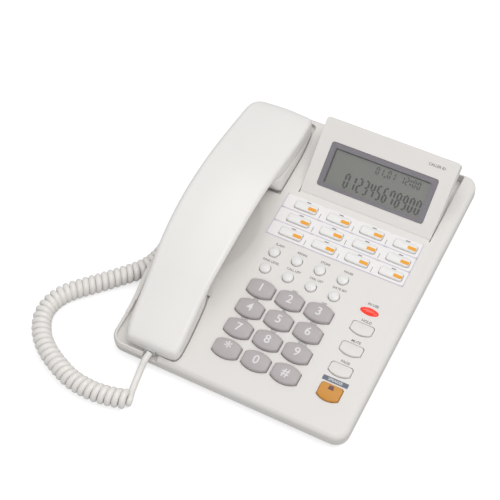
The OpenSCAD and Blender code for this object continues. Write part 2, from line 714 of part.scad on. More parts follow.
// Section across the handset: sides l and r, draft of each side, back height t and underside b
function handset_section(l, r, dl, dr, t, b) = let (rt = min(5, (t - b) * 0.42), rb = min(3, (t - b) * 0.25),
    mid = (l + r) / 2, half = (r - l) / 2) concat(
    arc([r - rt, t - rt], rt, 0, 90, 4),
    [for (x = [0.45, 0, -0.45]) [mid + x * half, t + crown * (1 - x * x * 3)]],
    arc([l + rt, t - rt], rt, 90, 180, 4),
    arc([l + dl + rb, b + rb], rb, 180, 270, 2),
    arc([r - dr - rb, b + rb], rb, 270, 360, 2));

// Closed skin through a list of rings with the same number of points
module skin(rings) {
    n = len(rings[0]);
    last = len(rings) - 1;
    polyhedron(
        [for (ring = rings, p = ring) p],
        concat([[for (i = [n - 1:-1:0]) i]], [[for (i = [0:n - 1]) last * n + i]],
            [for (k = [0:last - 1], i = [0:n - 1]) let (j = (i + 1) % n) [k * n + i, k * n + j, (k + 1) * n + j]],
            [for (k = [0:last - 1], i = [0:n - 1]) let (j = (i + 1) % n) [k * n + i, (k + 1) * n + j, (k + 1) * n + i]]));
}

// Stations of the handset's skin, drawn in by inset at both ends
function stations(inset) = inset == 0 ? handset_stations : concat([inset],
    [for (u = handset_stations) if (u > inset + 0.3 && u < 220.7 - inset) u], [221 - inset]);
// Underside at u, raised by inset and kept that far from the cups' steep faces
function underside(u, inset) = max([for (du = [-inset, 0, inset]) lookup(u + du, under_line)]) + inset;

// Solid handset, drawn in by inset on every side
module handset_body(inset) {
    translate([handset_x, handset_s, handset_floor + 3]) skin([for (u = stations(inset))
        let (l = lookup(u, left_line) * width_scale + inset, r = lookup(u, right_line) * width_scale - inset)
            [for (p = handset_section(l, r, lookup(u, left_draft), lookup(u, right_draft),
                lookup(u, back_line) - inset, underside(u, inset)))
                [p[0], u * handset_scale, p[1]]]]);
}

// Everything below the seam between the handset's two shells
module below_seam() {
    translate([handset_x - handset_w, handset_s, handset_floor + 3]) rotate([90, 0, 90])
        linear_extrude(2 * handset_w) polygon(concat([[-5, -20]],
            [for (p = seam_line) [p[0] * handset_scale, p[1]]], [[226, -20]]));
}

module at_handset(x, u, h) {
    translate([handset_x + x, handset_s + u * handset_scale, handset_floor + 3 + h]) children();
}

module handset_back() {
    color("whitesmoke") on_face() {
        difference() {
            handset_body(0);
            handset_body(handset_wall);
            below_seam();
        }
        for (u = handset_screws_u)
            at_handset(0, u, handset_boss_end) difference() {
                cylinder(d = 6, h = lookup(u, back_line) - handset_boss_end - handset_wall / 2, $fn = coarse);
                translate([0, 0, -1]) cylinder(d = 2.3, h = 7, $fn = coarse);
            }
    }
}

module handset_front() {
    color("whitesmoke") on_face() difference() {
        union() {
            intersection() {
                difference() {
                    handset_body(0);
                    handset_body(handset_wall);
                }
                below_seam();
            }
            at_handset(0, 0, 0) box([-4, 1.6, -2.6], [10, 15, 3.9]);
            for (u = handset_screws_u)
                at_handset(0, u, -2) cylinder(d = 6, h = handset_boss_end + 2, $fn = coarse);
        }
        at_handset(plug_x - handset_x, 0, plug_h - handset_floor - 3)
            box([-cord_cavity[0] / 2, -3, -cord_cavity[2] / 2], [cord_cavity[0] / 2, 11.5, cord_cavity[2] / 2]);
        for (u = handset_screws_u) {
            at_handset(0, u, -4) cylinder(d = 5.2, h = 6, $fn = coarse);
            at_handset(0, u, 0) cylinder(d = 2.6, h = handset_boss_end + 1, $fn = coarse);
        }
        for (i = [0:5])
            at_handset(6 * cos(i * 60), earpiece_u + 6 * sin(i * 60), -4) cylinder(d = 2.4, h = 4, $fn = 16);
        at_handset(0, earpiece_u, -4) cylinder(d = 2.4, h = 4, $fn = 16);
        for (x = [-3, 0, 3]) at_handset(x, microphone_u, -4) cylinder(d = 1.6, h = 4, $fn = 16);
    }
}

module handset_screws() {
    color("silver") on_face() for (u = handset_screws_u)
        at_handset(0, u, 0) {
            cylinder(d = 4.8, h = 2, $fn = coarse);
            translate([0, 0, 2 - eps]) cylinder(d = 2.2, h = 11, $fn = coarse);
        }
}

module earpiece() {
    color("darkslategray") on_face() at_handset(0, earpiece_u, -3 + handset_wall) {
        cylinder(d = earpiece_d, h = 5, $fn = 96);
        translate([0, 0, 5 - eps]) cylinder(d = earpiece_d * 0.6, h = 3, $fn = fine);
    }
}

module microphone() {
    color("dimgray") on_face() at_handset(0, microphone_u, -3 + handset_wall)
        cylinder(d = 9.7, h = 6.5, $fn = fine);
}

// ---- Cord ----

// Modular plug: its cord end at Y = 0 and its nose towards +Y
module modular_plug() {
    difference() {
        box([-plug_size[0] / 2, 0, -plug_size[2] / 2], [plug_size[0] / 2, plug_size[1], plug_size[2] / 2]);
        for (i = [-1.5:1.5])
            box([i * 1.3 - 0.3, plug_size[1] - 4, plug_size[2] / 2 - 0.8],
                [i * 1.3 + 0.3, plug_size[1] + 1, plug_size[2] / 2 + 1]);
    }
}

module handset_plug() {
    color("lightgray") on_face() translate([plug_x, handset_s - 1.2, plug_h]) modular_plug();
}

module base_plug() {
    color("lightgray") translate([cord_face_x - plug_out, cord_jack_y, jack_z + cord_jack[2] / 2])
        rotate([0, 0, -90]) modular_plug();
}

function unit(v) = v / norm(v);
// Direction of the route at point i, with the two ends' own directions where given
function heading(route, i, first, last) =
    i == 0 ? unit(first) : i == len(route) - 1 ? unit(last) : unit(route[i + 1] - route[i - 1]);
function ring(centre, along, r, sides) = let (across = unit(cross([0, 0, 1], along)), up = cross(along, across))
    [for (k = [0:sides - 1]) let (a = -k * 360 / sides) centre + r * (cos(a) * across + sin(a) * up)];

module tube(route, d, sides, first, last) {
    skin([for (i = [0:len(route) - 1]) ring(route[i], heading(route, i, first, last), d / 2, sides)]);
}

coil_start_dir = coil_route[1] - coil_route[0];

module cord_handset_lead() {
    color("whitesmoke") tube(lead_route, cord_d, 8, plug_dir, coil_start_dir);
}

module cord_coil() {
    color("whitesmoke") tube(coil_route, coil_d, 12, coil_start_dir, [0, 1, 0]);
}

module cord_base_lead() {
    color("whitesmoke") tube(base_route, cord_d, 8, [0, 1, 0], [1, 0, 0]);
}

// ---- Pieces ----

top_shell();
bottom_shell();
rubber_feet();
shell_screws();
circuit_board();
key_mat();
loudspeaker();
modular_jacks();
in_use_lens();
hook_plunger();
for (i = [0:11]) key_body(dial_spec(i), "rosybrown");
for (i = [0:11]) key_body(memory_spec(i), "white");
for (i = [0:7]) key_body(function_spec(i), "white");
for (i = [0:2]) key_body(side_spec(i), "white");
key_body(speaker_spec, "orange");  // speaker_key
display_front();
display_back();
display_window();
lcd_panel();
handset_back();
handset_front();
earpiece();
microphone();
handset_screws();
handset_plug();
base_plug();
cord_handset_lead();
cord_coil();
cord_base_lead();
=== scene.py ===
import math

import bpy
import bmesh
import numpy as np
from mathutils import Matrix, Vector


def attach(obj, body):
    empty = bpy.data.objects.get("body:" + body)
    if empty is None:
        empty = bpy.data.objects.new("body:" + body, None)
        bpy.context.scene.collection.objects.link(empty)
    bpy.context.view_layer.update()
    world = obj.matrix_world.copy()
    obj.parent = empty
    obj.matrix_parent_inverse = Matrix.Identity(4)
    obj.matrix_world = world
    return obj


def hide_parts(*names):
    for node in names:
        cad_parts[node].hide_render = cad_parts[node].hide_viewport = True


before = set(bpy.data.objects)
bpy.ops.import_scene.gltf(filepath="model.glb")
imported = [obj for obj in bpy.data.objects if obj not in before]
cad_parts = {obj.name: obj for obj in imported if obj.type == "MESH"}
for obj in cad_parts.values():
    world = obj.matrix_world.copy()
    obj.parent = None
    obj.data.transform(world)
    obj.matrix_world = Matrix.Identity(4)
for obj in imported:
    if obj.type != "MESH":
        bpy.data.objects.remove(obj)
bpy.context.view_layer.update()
scene = bpy.context.scene
print("frame loaded")


def makeObject(name, data):
    made = bpy.data.objects.new(name, data)
    scene.collection.objects.link(made)
    return made


def mathNode(group, operation, first, second):
    # a math node whose inputs are plain values or other nodes' outputs
    node = group.nodes.new("ShaderNodeMath")
    node.operation = operation
    for socket, value in zip(node.inputs, (first, second)):
        if isinstance(value, (int, float)):
            socket.default_value = value
        else:
            group.links.new(value, socket)
    return node.outputs[0]


# Camera, lights and floor

cameraPlan = {
    "place": (0.2263, -0.5089, 0.7298),
    "azimuth": 27.51,
    "elevation": 51.27,
    "lens": 90.0,
    "sensor": 36,
    "clip": (0.01, 20),
}


def makeCamera(plan):
    data = bpy.data.cameras.new("camera")
    data.lens = plan["lens"]
    data.sensor_width = plan["sensor"]
    data.clip_start, data.clip_end = plan["clip"]
    camera = makeObject("camera", data)
    a, e = math.radians(plan["azimuth"]), math.radians(plan["elevation"])
    back = Vector((math.sin(a) * math.cos(e), -math.cos(a) * math.cos(e), math.sin(e)))
    right = Vector((math.cos(a), math.sin(a), 0))
    turn = Matrix((right, back.cross(right), back)).transposed()
    camera.matrix_world = Matrix.Translation(plan["place"]) @ turn.to_4x4()
    scene.camera = camera


lampPlan = {
    # name: (place, target, width, watts)
    "key": ((-0.25, 0.35, 1.2), (0, 0, 0.02), 0.6, 1.6),
    "top": ((0.5, 0.0, 1.3), (0, 0, 0), 0.9, 6.0),
    "front": ((0.25, -1.0, 1.1), (0, 0, 0), 0.9, 3.0),
}


def makeLamps(plan):
    for name, (place, target, width, watts) in plan.items():
        data = bpy.data.lights.new(name, "AREA")
        data.shape = "DISK"
        data.size = width
        data.energy = watts
        lamp = makeObject(name, data)
        aim = (Vector(target) - Vector(place)).to_track_quat("-Z", "Y")
        lamp.matrix_world = Matrix.Translation(place) @ aim.to_matrix().to_4x4()


worldPlan = {"fill": 0.57, "seen": 1}


def makeWorld(plan):
    # the camera sees a plain white; everything else is lit by the weaker fill
    world = bpy.data.worlds.new("studio")
    world.use_nodes = True
    tree = world.node_tree
    fill = tree.nodes["Background"]
    fill.inputs["Color"].default_value = (1, 1, 1, 1)
    fill.inputs["Strength"].default_value = plan["fill"]
    white = tree.nodes.new("ShaderNodeBackground")
    white.inputs["Strength"].default_value = plan["seen"]
    white.inputs["Color"].default_value = (1, 1, 1, 1)
    path = tree.nodes.new("ShaderNodeLightPath")
    pick = tree.nodes.new("ShaderNodeMixShader")
    tree.links.new(path.outputs["Is Camera Ray"], pick.inputs["Fac"])
    tree.links.new(fill.outputs[0], pick.inputs[1])
    tree.links.new(white.outputs[0], pick.inputs[2])
    tree.links.new(pick.outputs[0], tree.nodes["World Output"].inputs["Surface"])
    scene.world = world


floorPlan = {"half": 3.0, "grey": 0.6, "roughness": 0.9, "gloss": 0.1, "lift": 0.6}


def makeFloor(plan):
    # a plain grey plane that keeps the shadow; lift adds light to it for camera rays alone
    half = plan["half"]
    corners = [(-half, -half, 0), (half, -half, 0), (half, half, 0), (-half, half, 0)]
    mesh = bpy.data.meshes.new("floor")
    mesh.from_pydata(corners, [], [(0, 1, 2, 3)])
    floor = makeObject("floor", mesh)
    material = bpy.data.materials.new("floorPaper")
    material.use_nodes = True
    tree = material.node_tree
    body = tree.nodes["Principled BSDF"]
    body.inputs["Base Color"].default_value = (*[plan["grey"]] * 3, 1)
    body.inputs["Roughness"].default_value = plan["roughness"]
    body.inputs["Specular IOR Level"].default_value = plan["gloss"]
    glow = tree.nodes.new("ShaderNodeEmission")
    glow.inputs["Color"].default_value = (1, 1, 1, 1)
    path = tree.nodes.new("ShaderNodeLightPath")
    amount = mathNode(tree, "MULTIPLY", path.outputs["Is Camera Ray"], plan["lift"])
    tree.links.new(amount, glow.inputs["Strength"])
    both = tree.nodes.new("ShaderNodeAddShader")
    tree.links.new(body.outputs[0], both.inputs[0])
    tree.links.new(glow.outputs[0], both.inputs[1])
    tree.links.new(both.outputs[0], tree.nodes["Material Output"].inputs["Surface"])
    floor.data.materials.append(material)


makeCamera(cameraPlan)
makeLamps(lampPlan)
makeWorld(worldPlan)
makeFloor(floorPlan)
scene.view_settings.view_transform = "Standard"
print("camera, lamps and floor made")

# Frames of the face and of the display, in mm

bodyPlan = {"depth": 232, "tilt": 8, "frontHeight": 14, "skirt": 10}
tilt = math.radians(bodyPlan["tilt"])
faceY = -(bodyPlan["depth"] * math.cos(tilt) + bodyPlan["skirt"] * math.sin(tilt)) / 2
displayPlan = {"x": 28.1, "hingeS": 171.5, "hingeH": -3.5, "angle": 30, "windowV": 24.3}


def onFace(x, s, h):
    # from x to the right, s up the slope from the front rim and h out of the face, in mm, to metres
    x, s, h = np.broadcast_arrays(np.asarray(x, float), s, h)
    y = faceY + s * math.cos(tilt) - h * math.sin(tilt)
    z = bodyPlan["frontHeight"] + s * math.sin(tilt) + h * math.cos(tilt)
    return np.stack([x, y, z], -1) / 1000


def onDisplay(x, v, h):
    # x from the display's middle, v from the hinge axis to the free edge, h from the axis plane
    lean = math.radians(displayPlan["angle"])
    x, v, h = np.broadcast_arrays(np.asarray(x, float), v, h)
    s = displayPlan["hingeS"] + v * math.cos(lean) - h * math.sin(lean)
    rise = displayPlan["hingeH"] + v * math.sin(lean) + h * math.cos(lean)
    return onFace(displayPlan["x"] + x, s, rise)


# Mesh helpers


def ringFaces(rings, points, start=0, closed=True):
    # quads between following rings of the same number of points
    i = np.arange(rings - 1)[:, None]
    j = np.arange(points if closed else points - 1)[None, :]
    k = (j + 1) % points
    quads = np.stack([i * points + j, i * points + k, (i + 1) * points + k, (i + 1) * points + j], -1)
    return (quads.reshape(-1, 4) + start).tolist()


def ringSolid(rings):
    # closed solid through rings of points, flat at both ends
    count, points = rings.shape[:2]
    faces = ringFaces(count, points)
    faces.append(list(range(points))[::-1])
    faces.append([(count - 1) * points + j for j in range(points)])
    return rings.reshape(-1, 3), faces


def addPiece(name, parts, body, replaced=(), sharpAngle=35):
    # parts are (points, faces, material); they become one mesh that rides on the body
    mesh = bpy.data.meshes.new(name)
    points = np.concatenate([np.asarray(p[0]).reshape(-1, 3) for p in parts])
    faces, paints, start = [], [], 0
    for index, (partPoints, partFaces, material) in enumerate(parts):
        faces += [[v + start for v in face] for face in partFaces]
        paints += [index] * len(partFaces)
        start += len(np.asarray(partPoints).reshape(-1, 3))
        mesh.materials.append(material)
    mesh.from_pydata(points.tolist(), [], faces)
    mesh.polygons.foreach_set("material_index", np.array(paints, dtype=np.int32))
    mesh.polygons.foreach_set("use_smooth", np.ones(len(faces), dtype=bool))
    mesh.set_sharp_from_angle(angle=math.radians(sharpAngle))
    mesh.update()
    piece = makeObject(name, mesh)
    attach(piece, body)
    if replaced:
        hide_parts(*replaced)
    return piece


dressPlan = {"flatAngle": 0.4, "sharpAngle": 30, "bevelAngle": 40, "segments": 2, "merge": 1e-6}


def dressNode(node, material, body, slotName, bevel):
    # a merged copy of a CAD node, with its flat faces joined and its edges softened, stands for the node
    plan = dressPlan
    work = bmesh.new()
    work.from_mesh(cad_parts[node].data)
    bmesh.ops.remove_doubles(work, verts=work.verts, dist=plan["merge"])
    flat = math.radians(plan["flatAngle"])
    bmesh.ops.dissolve_limit(work, angle_limit=flat, verts=work.verts, edges=work.edges)
    mesh = bpy.data.meshes.new(node + ".skin")
    work.to_mesh(mesh)
    work.free()
    mesh.materials.clear()
    mesh.materials.append(material)
    mesh.polygons.foreach_set("use_smooth", np.ones(len(mesh.polygons), dtype=bool))
    mesh.set_sharp_from_angle(angle=math.radians(plan["sharpAngle"]))
    piece = makeObject(node + ".skin", mesh)
    soften = piece.modifiers.new("soften", "BEVEL")
    soften.width = bevel / 1000
    soften.segments = plan["segments"]
    soften.limit_method = "ANGLE"
    soften.angle_limit = math.radians(plan["bevelAngle"])
    soften.use_clamp_overlap = True
    soften.harden_normals = True
    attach(piece, body)
    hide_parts(node)
    return piece


wordPlan = {"capShare": 0.73, "curveSteps": 4}


def wordMesh(words, height, depth, bold=0.0):
    # built-in letters, set in mm round their own middle and depth thick; bold widens their strokes
    curve = bpy.data.curves.new("words", "FONT")
    curve.body = words
    curve.size = height / wordPlan["capShare"]
    curve.align_x, curve.align_y = "CENTER", "CENTER"
    curve.resolution_u = wordPlan["curveSteps"]
    curve.extrude = depth / 2
    curve.offset = bold
    holder = makeObject("words", curve)
    made = bpy.data.meshes.new_from_object(holder.evaluated_get(bpy.context.evaluated_depsgraph_get()))
    flat = np.empty(len(made.vertices) * 3)
    made.vertices.foreach_get("co", flat)
    faces = [list(p.vertices) for p in made.polygons]
    bpy.data.objects.remove(holder)
    bpy.data.curves.remove(curve)
    bpy.data.meshes.remove(made)
    return flat.reshape(-1, 3), faces


def roundedDistance(x, y, w, d, r):
    # distance to a rectangle w by d with corners of radius r, negative inside
    qx, qy = np.abs(x) - w / 2 + r, np.abs(y) - d / 2 + r
    outside = np.hypot(np.maximum(qx, 0), np.maximum(qy, 0))
    return outside + np.minimum(np.maximum(qx, qy), 0) - r


keyCorners = {"bar": 1.8, "mark": 0.6, "boat": 2.0, "dial": 4.2}
keyBows = {"boat": 14, "dial": 18}  # radius of the bowed sides


def keyDistance(kind, x, y, w, d):
    # distance to a key's outline: round, a bar or its mark, a boat with one bowed side, a dial key with two
    if kind == "round":
        return np.hypot(x, y) - w / 2
    box = roundedDistance(x, y, w, d, keyCorners[kind])
    if kind not in keyBows:
        return box
    bow = keyBows[kind]
    front = np.hypot(x, y - (bow - d / 2))
    if kind == "boat":
        return np.maximum(box, front - bow)
    return np.maximum(box, np.maximum(np.hypot(x, y - (d / 2 - bow)), front) - bow)


ringPlan = {
    "count": 72, "crowd": 0.17, "halvings": 44, "edgeSteps": 6, "crown": (0.88, 0.7, 0.48, 0.24, 0.08),
}


def keyRing(kind, w, d, inset, count=ringPlan["count"]):
    # outline drawn in by inset, found along rays that crowd towards the corners
    t = np.arange(count) / count * 2 * math.pi
    t = t - ringPlan["crowd"] * np.sin(4 * t)
    angle = np.arctan2(d * np.sin(t), w * np.cos(t))
    c, s = np.cos(angle), np.sin(angle)
    near, far = np.zeros(count), np.full(count, w + d)
    for step in range(ringPlan["halvings"]):
        middle = (near + far) / 2
        inside = keyDistance(kind, middle * c, middle * s, w, d) < -inset
        near, far = np.where(inside, middle, near), np.where(inside, far, middle)
    return near * c, near * s


def padSolid(kind, w, d, place, base, top, edge, dome, put=onFace, count=ringPlan["count"]):
    # a pad from height base to top, with an edge rounded by radius edge and a crown that rises by dome
    turn = np.linspace(0, math.pi / 2, ringPlan["edgeSteps"])
    profile = [(0, base)] + [(edge * (1 - math.cos(a)), top - edge + edge * math.sin(a)) for a in turn]
    rings = []
    for inset, height in profile:
        x, y = keyRing(kind, w, d, inset, count)
        rings.append(put(place[0] + x, place[1] + y, height))
    for share in ringPlan["crown"]:
        rings.append(put(place[0] + x * share, place[1] + y * share, top + dome * (1 - share * share)))
    return ringSolid(np.array(rings))


def boxSolid(low, high, put=onFace):
    x0, s0, h0 = low
    x1, s1, h1 = high
    ring = np.array([[x0, s0], [x1, s0], [x1, s1], [x0, s1]])
    rings = np.array([put(ring[:, 0], ring[:, 1], h) for h in (h0, h1)])
    return ringSolid(rings)


def joined(solids, material):
    # several solids of one material as one part
    points, faces, start = [], [], 0
    for partPoints, partFaces in solids:
        points.append(np.asarray(partPoints).reshape(-1, 3))
        faces += [[v + start for v in face] for face in partFaces]
        start += len(points[-1])
    return np.concatenate(points), faces, material


# Shader groups and materials


mouldPlan = {"grainDetail": 2, "patchScale": 14, "patchDetail": 3, "bump": 0.35, "bumpDepth": 0.0002,
             "coatRoughness": 0.12}


def makeMouldGroup(plan):
    # moulded plastic: fine grain for the bump, soft patches for tone and gloss
    group = bpy.data.node_groups.new("mouldedSkin", "ShaderNodeTree")
    inputs = {"Color": (0.8, 0.8, 0.8, 1), "Roughness": 0.4, "Grain Size": 2600, "Grain": 0.1,
              "Patches": 0.03}
    for name, value in inputs.items():
        kind = "NodeSocketColor" if name == "Color" else "NodeSocketFloat"
        group.interface.new_socket(name, in_out="INPUT", socket_type=kind).default_value = value
    for name in ("Color", "Roughness", "Height"):
        kind = "NodeSocketColor" if name == "Color" else "NodeSocketFloat"
        group.interface.new_socket(name, in_out="OUTPUT", socket_type=kind)
    add, link = group.nodes.new, group.links.new
    given, made = add("NodeGroupInput"), add("NodeGroupOutput")
    place = add("ShaderNodeTexCoord")
    grain = add("ShaderNodeTexNoise")
    grain.inputs["Detail"].default_value = plan["grainDetail"]
    link(place.outputs["Object"], grain.inputs["Vector"])
    link(given.outputs["Grain Size"], grain.inputs["Scale"])
    patch = add("ShaderNodeTexNoise")
    patch.inputs["Scale"].default_value = plan["patchScale"]
    patch.inputs["Detail"].default_value = plan["patchDetail"]
    link(place.outputs["Object"], patch.inputs["Vector"])
    centred = mathNode(group, "SUBTRACT", patch.outputs["Fac"], 0.5)
    swing = mathNode(group, "MULTIPLY", centred, given.outputs["Patches"])
    paint = add("ShaderNodeVectorMath")
    paint.operation = "SCALE"
    link(given.outputs["Color"], paint.inputs[0])
    link(mathNode(group, "ADD", 1, swing), paint.inputs["Scale"])
    link(paint.outputs[0], made.inputs["Color"])
    link(mathNode(group, "ADD", given.outputs["Roughness"], swing), made.inputs["Roughness"])
    link(mathNode(group, "MULTIPLY", grain.outputs["Fac"], given.outputs["Grain"]), made.inputs["Height"])
    return group


mouldedSkin = makeMouldGroup(mouldPlan)


def moulded(name, color, roughness=0.4, grain=0.15, grainSize=2600, patches=0.03, coat=0.0, settings=None):
    # plastic or rubber finish; settings go straight to the shader's own sockets
    material = bpy.data.materials.new(name)
    material.use_nodes = True
    tree = material.node_tree
    shader = tree.nodes["Principled BSDF"]
    skin = tree.nodes.new("ShaderNodeGroup")
    skin.node_tree = mouldedSkin
    skin.inputs["Color"].default_value = (*color, 1)
    skin.inputs["Roughness"].default_value = roughness
    skin.inputs["Grain Size"].default_value = grainSize
    skin.inputs["Grain"].default_value = grain
    skin.inputs["Patches"].default_value = patches
    bump = tree.nodes.new("ShaderNodeBump")
    bump.inputs["Strength"].default_value = mouldPlan["bump"]
    bump.inputs["Distance"].default_value = mouldPlan["bumpDepth"]
    tree.links.new(skin.outputs["Color"], shader.inputs["Base Color"])
    tree.links.new(skin.outputs["Roughness"], shader.inputs["Roughness"])
    tree.links.new(skin.outputs["Height"], bump.inputs["Height"])
    tree.links.new(bump.outputs["Normal"], shader.inputs["Normal"])
    shader.inputs["Coat Weight"].default_value = coat
    shader.inputs["Coat Roughness"].default_value = mouldPlan["coatRoughness"]
    for socket, value in (settings or {}).items():
        shader.inputs[socket].default_value = value
    return material


finishes = {
    "shell": moulded("shellPlastic", (0.75, 0.728, 0.702), 0.42, 0.22,
                     settings={"Specular IOR Level": 0.45}),
    "base": moulded("basePlastic", (0.715, 0.692, 0.666), 0.5, 0.3),
    "handset": moulded("handsetPlastic", (0.83, 0.812, 0.79), 0.36, 0.12, coat=0.05),
    "dialKey": moulded("dialKeyPlastic", (0.44, 0.405, 0.41), 0.38, 0.12, coat=0.1),
    "key": moulded("keyPlastic", (0.775, 0.77, 0.755), 0.26, 0.05, coat=0.25),
    "digit": moulded("digitInk", (0.74, 0.72, 0.73), 0.5, 0.0),
    "ink": moulded("labelInk", (0.22, 0.21, 0.22), 0.6, 0.0),
    "slate": moulded("slateInk", (0.145, 0.165, 0.205), 0.6, 0.0),
    "pale": moulded("paleInk", (0.72, 0.72, 0.73), 0.6, 0.0),
    "orangeMark": moulded("orangeMark", (0.86, 0.37, 0.02), 0.5, 0.0),
    "orangeKey": moulded("speakerKeyPlastic", (0.60, 0.26, 0.03), 0.4, 0.08, coat=0.1),
    "markInk": moulded("speakerMarkInk", (0.16, 0.07, 0.06), 0.5, 0.0),
    "card": moulded("cardPaper", (0.84, 0.82, 0.815), 0.55, 0.05),
    "cardEdge": moulded("cardEdge", (0.60, 0.57, 0.66), 0.55, 0.05),
    "bezel": moulded("windowBorder", (0.15, 0.135, 0.16), 0.35, 0.0, coat=0.1),
    "lcd": moulded("lcdGlass", (0.165, 0.17, 0.15), 0.3, 0.0, patches=0.02),
    # the segments' near-black ink also paints the shadow strips along the LCD's rear and left inner edges
    "segment": moulded("lcdSegmentAndPaintedShade", (0.008, 0.010, 0.008), 0.5, 0.0),
    "faintSegment": moulded("lcdFaintSegment", (0.03, 0.034, 0.03), 0.5, 0.0),
    "lens": moulded("lensPlastic", (0.9, 0.02, 0.004), 0.15, 0.0, coat=0.6,
                    settings={"Emission Color": (1, 0.05, 0.01, 1), "Emission Strength": 0.25}),
    "rubber": moulded("footRubber", (0.03, 0.03, 0.032), 0.75, 0.5, 1500),
    "mat": moulded("matRubber", (0.35, 0.35, 0.36), 0.6, 0.2),
    "board": moulded("boardLaminate", (0.02, 0.12, 0.045), 0.35, 0.1),
    "dark": moulded("darkPlastic", (0.03, 0.03, 0.032), 0.45, 0.1),
    "jack": moulded("jackPlastic", (0.32, 0.32, 0.31), 0.45, 0.1),
    "steel": moulded("screwSteel", (0.56, 0.56, 0.55), 0.3, 0.05, settings={"Metallic": 1.0}),
    "clear": moulded("plugPlastic", (0.78, 0.80, 0.81), 0.12, 0.0, coat=0.5, settings={"Alpha": 0.75}),
    "cord": moulded("cordJacket", (0.82, 0.795, 0.765), 0.33, 0.05, coat=0.25),
    "window": moulded("windowPlastic", (0.85, 0.86, 0.87), 0.06, 0.0, patches=0.0,
                      settings={"Alpha": 0.05}),
}
print("materials made")

# Cord: one spline from the handset's plug, through the coil, to the jack

cordPlan = {
    "wire": 4.8,
    "coilRadius": 4.75,
    "turns": 56,
    "stepsPerTurn": 18,
    "coilSpacing": 0.5,
    "leadSpacing": 1.2,
    "roundness": 3,
    "easeTurns": (0.4, 0.9),
    "lead": [(-57.6, -112.7, 15.3), (-58.4, -117.4, 13.6), (-58.9, -122.5, 9.8), (-58.4, -129, 7),
             (-57.3, -135.5, 6.2), (-55.8, -141.5, 6.4), (-53.6, -147.4, 7.2)],
    "coil": [(-53.6, -147.4, 7.2), (-62.7, -150.3, 7.2), (-74, -152.6, 7.2), (-85.6, -153, 7.2),
             (-98.6, -151.2, 7.2), (-111.7, -146.2, 7.2), (-122.9, -140.4, 7.2), (-132.2, -133.6, 7.2),
             (-139, -125.8, 7.2), (-143.8, -117, 7.2), (-145.4, -108.6, 7.2), (-144.2, -100, 7.2),
             (-140.6, -91.6, 7.2), (-134.1, -83.2, 7.2), (-124.2, -72.4, 7.2), (-114, -60.6, 7.2),
             (-104.2, -48.6, 7.2), (-98.8, -38, 7.2), (-96.8, -25, 7.2), (-96.6, -7, 7.2), (-96.6, 11, 7.2),
             (-96.6, 29, 7.2)],
    "base": [(-96.6, 29, 7.2), (-96.6, 36, 7.6), (-95.6, 42.5, 8.4), (-92, 48.7, 9), (-84.8, 50, 9.1)],
}


def smoothPath(points, spacing, samples=60):
    # Catmull-Rom curve through the points, sampled at even spacing in mm
    p = np.array(points, float)
    p = np.vstack([p[0] - (p[1] - p[0]), p, p[-1] + (p[-1] - p[-2])])
    t = np.linspace(0, 1, samples, endpoint=False)[:, None]
    pieces = []
    for a, b, c, d in zip(p[:-3], p[1:-2], p[2:-1], p[3:]):
        pieces.append(0.5 * (2 * b + (c - a) * t + (2 * a - 5 * b + 4 * c - d) * t**2
                             + (3 * b - a - 3 * c + d) * t**3))
    line = np.vstack(pieces + [p[-2][None, :]])
    along = np.concatenate([[0], np.cumsum(np.linalg.norm(np.diff(line, axis=0), axis=1))])
    even = np.linspace(0, along[-1], max(3, int(along[-1] / spacing) + 1))
    return np.stack([np.interp(even, along, line[:, k]) for k in range(3)], -1)


def coilPath(plan):
    # a helix round the smoothed route; it opens away from the lead and its radius eases at both ends
    line = smoothPath(plan["coil"], plan["coilSpacing"])
    count = plan["turns"] * plan["stepsPerTurn"]
    along = np.linspace(0, len(line) - 1, count + 1)
    centre = np.stack([np.interp(along, np.arange(len(line)), line[:, k]) for k in range(3)], -1)
    heading = np.gradient(centre, axis=0)
    heading /= np.linalg.norm(heading, axis=1)[:, None]
    up = np.array([0, 0, 1.0])
    side = np.cross(heading, up)
    side /= np.linalg.norm(side, axis=1)[:, None]
    turn = np.linspace(0, plan["turns"] * 2 * math.pi, count + 1)
    ease = np.minimum(turn / plan["easeTurns"][0], turn[::-1] / plan["easeTurns"][1]) / (2 * math.pi)
    radius = plan["coilRadius"] * np.sin(np.minimum(ease, 1) * math.pi / 2)
    return centre - radius[:, None] * (side * np.cos(turn)[:, None] + up * np.sin(turn)[:, None])


def makeCord(plan):
    lead = smoothPath(plan["lead"], plan["leadSpacing"])
    coil = coilPath(plan)
    base = smoothPath(plan["base"], plan["leadSpacing"])
    line = np.vstack([lead[:-1], coil, base[1:]]) / 1000
    curve = bpy.data.curves.new("coiledCord", "CURVE")
    curve.dimensions = "3D"
    curve.bevel_depth = plan["wire"] / 2000
    curve.bevel_resolution = plan["roundness"]
    curve.use_fill_caps = True
    spline = curve.splines.new("POLY")
    spline.points.add(len(line) - 1)
    spline.points.foreach_set("co", np.hstack([line, np.ones((len(line), 1))]).ravel())
    spline.use_smooth = True
    curve.materials.append(finishes["cord"])
    cord = makeObject("coiledCord", curve)
    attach(cord, "base")
    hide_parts("cord_handset_lead", "cord_coil", "cord_base_lead")


makeCord(cordPlan)

# CAD nodes that keep their own shape

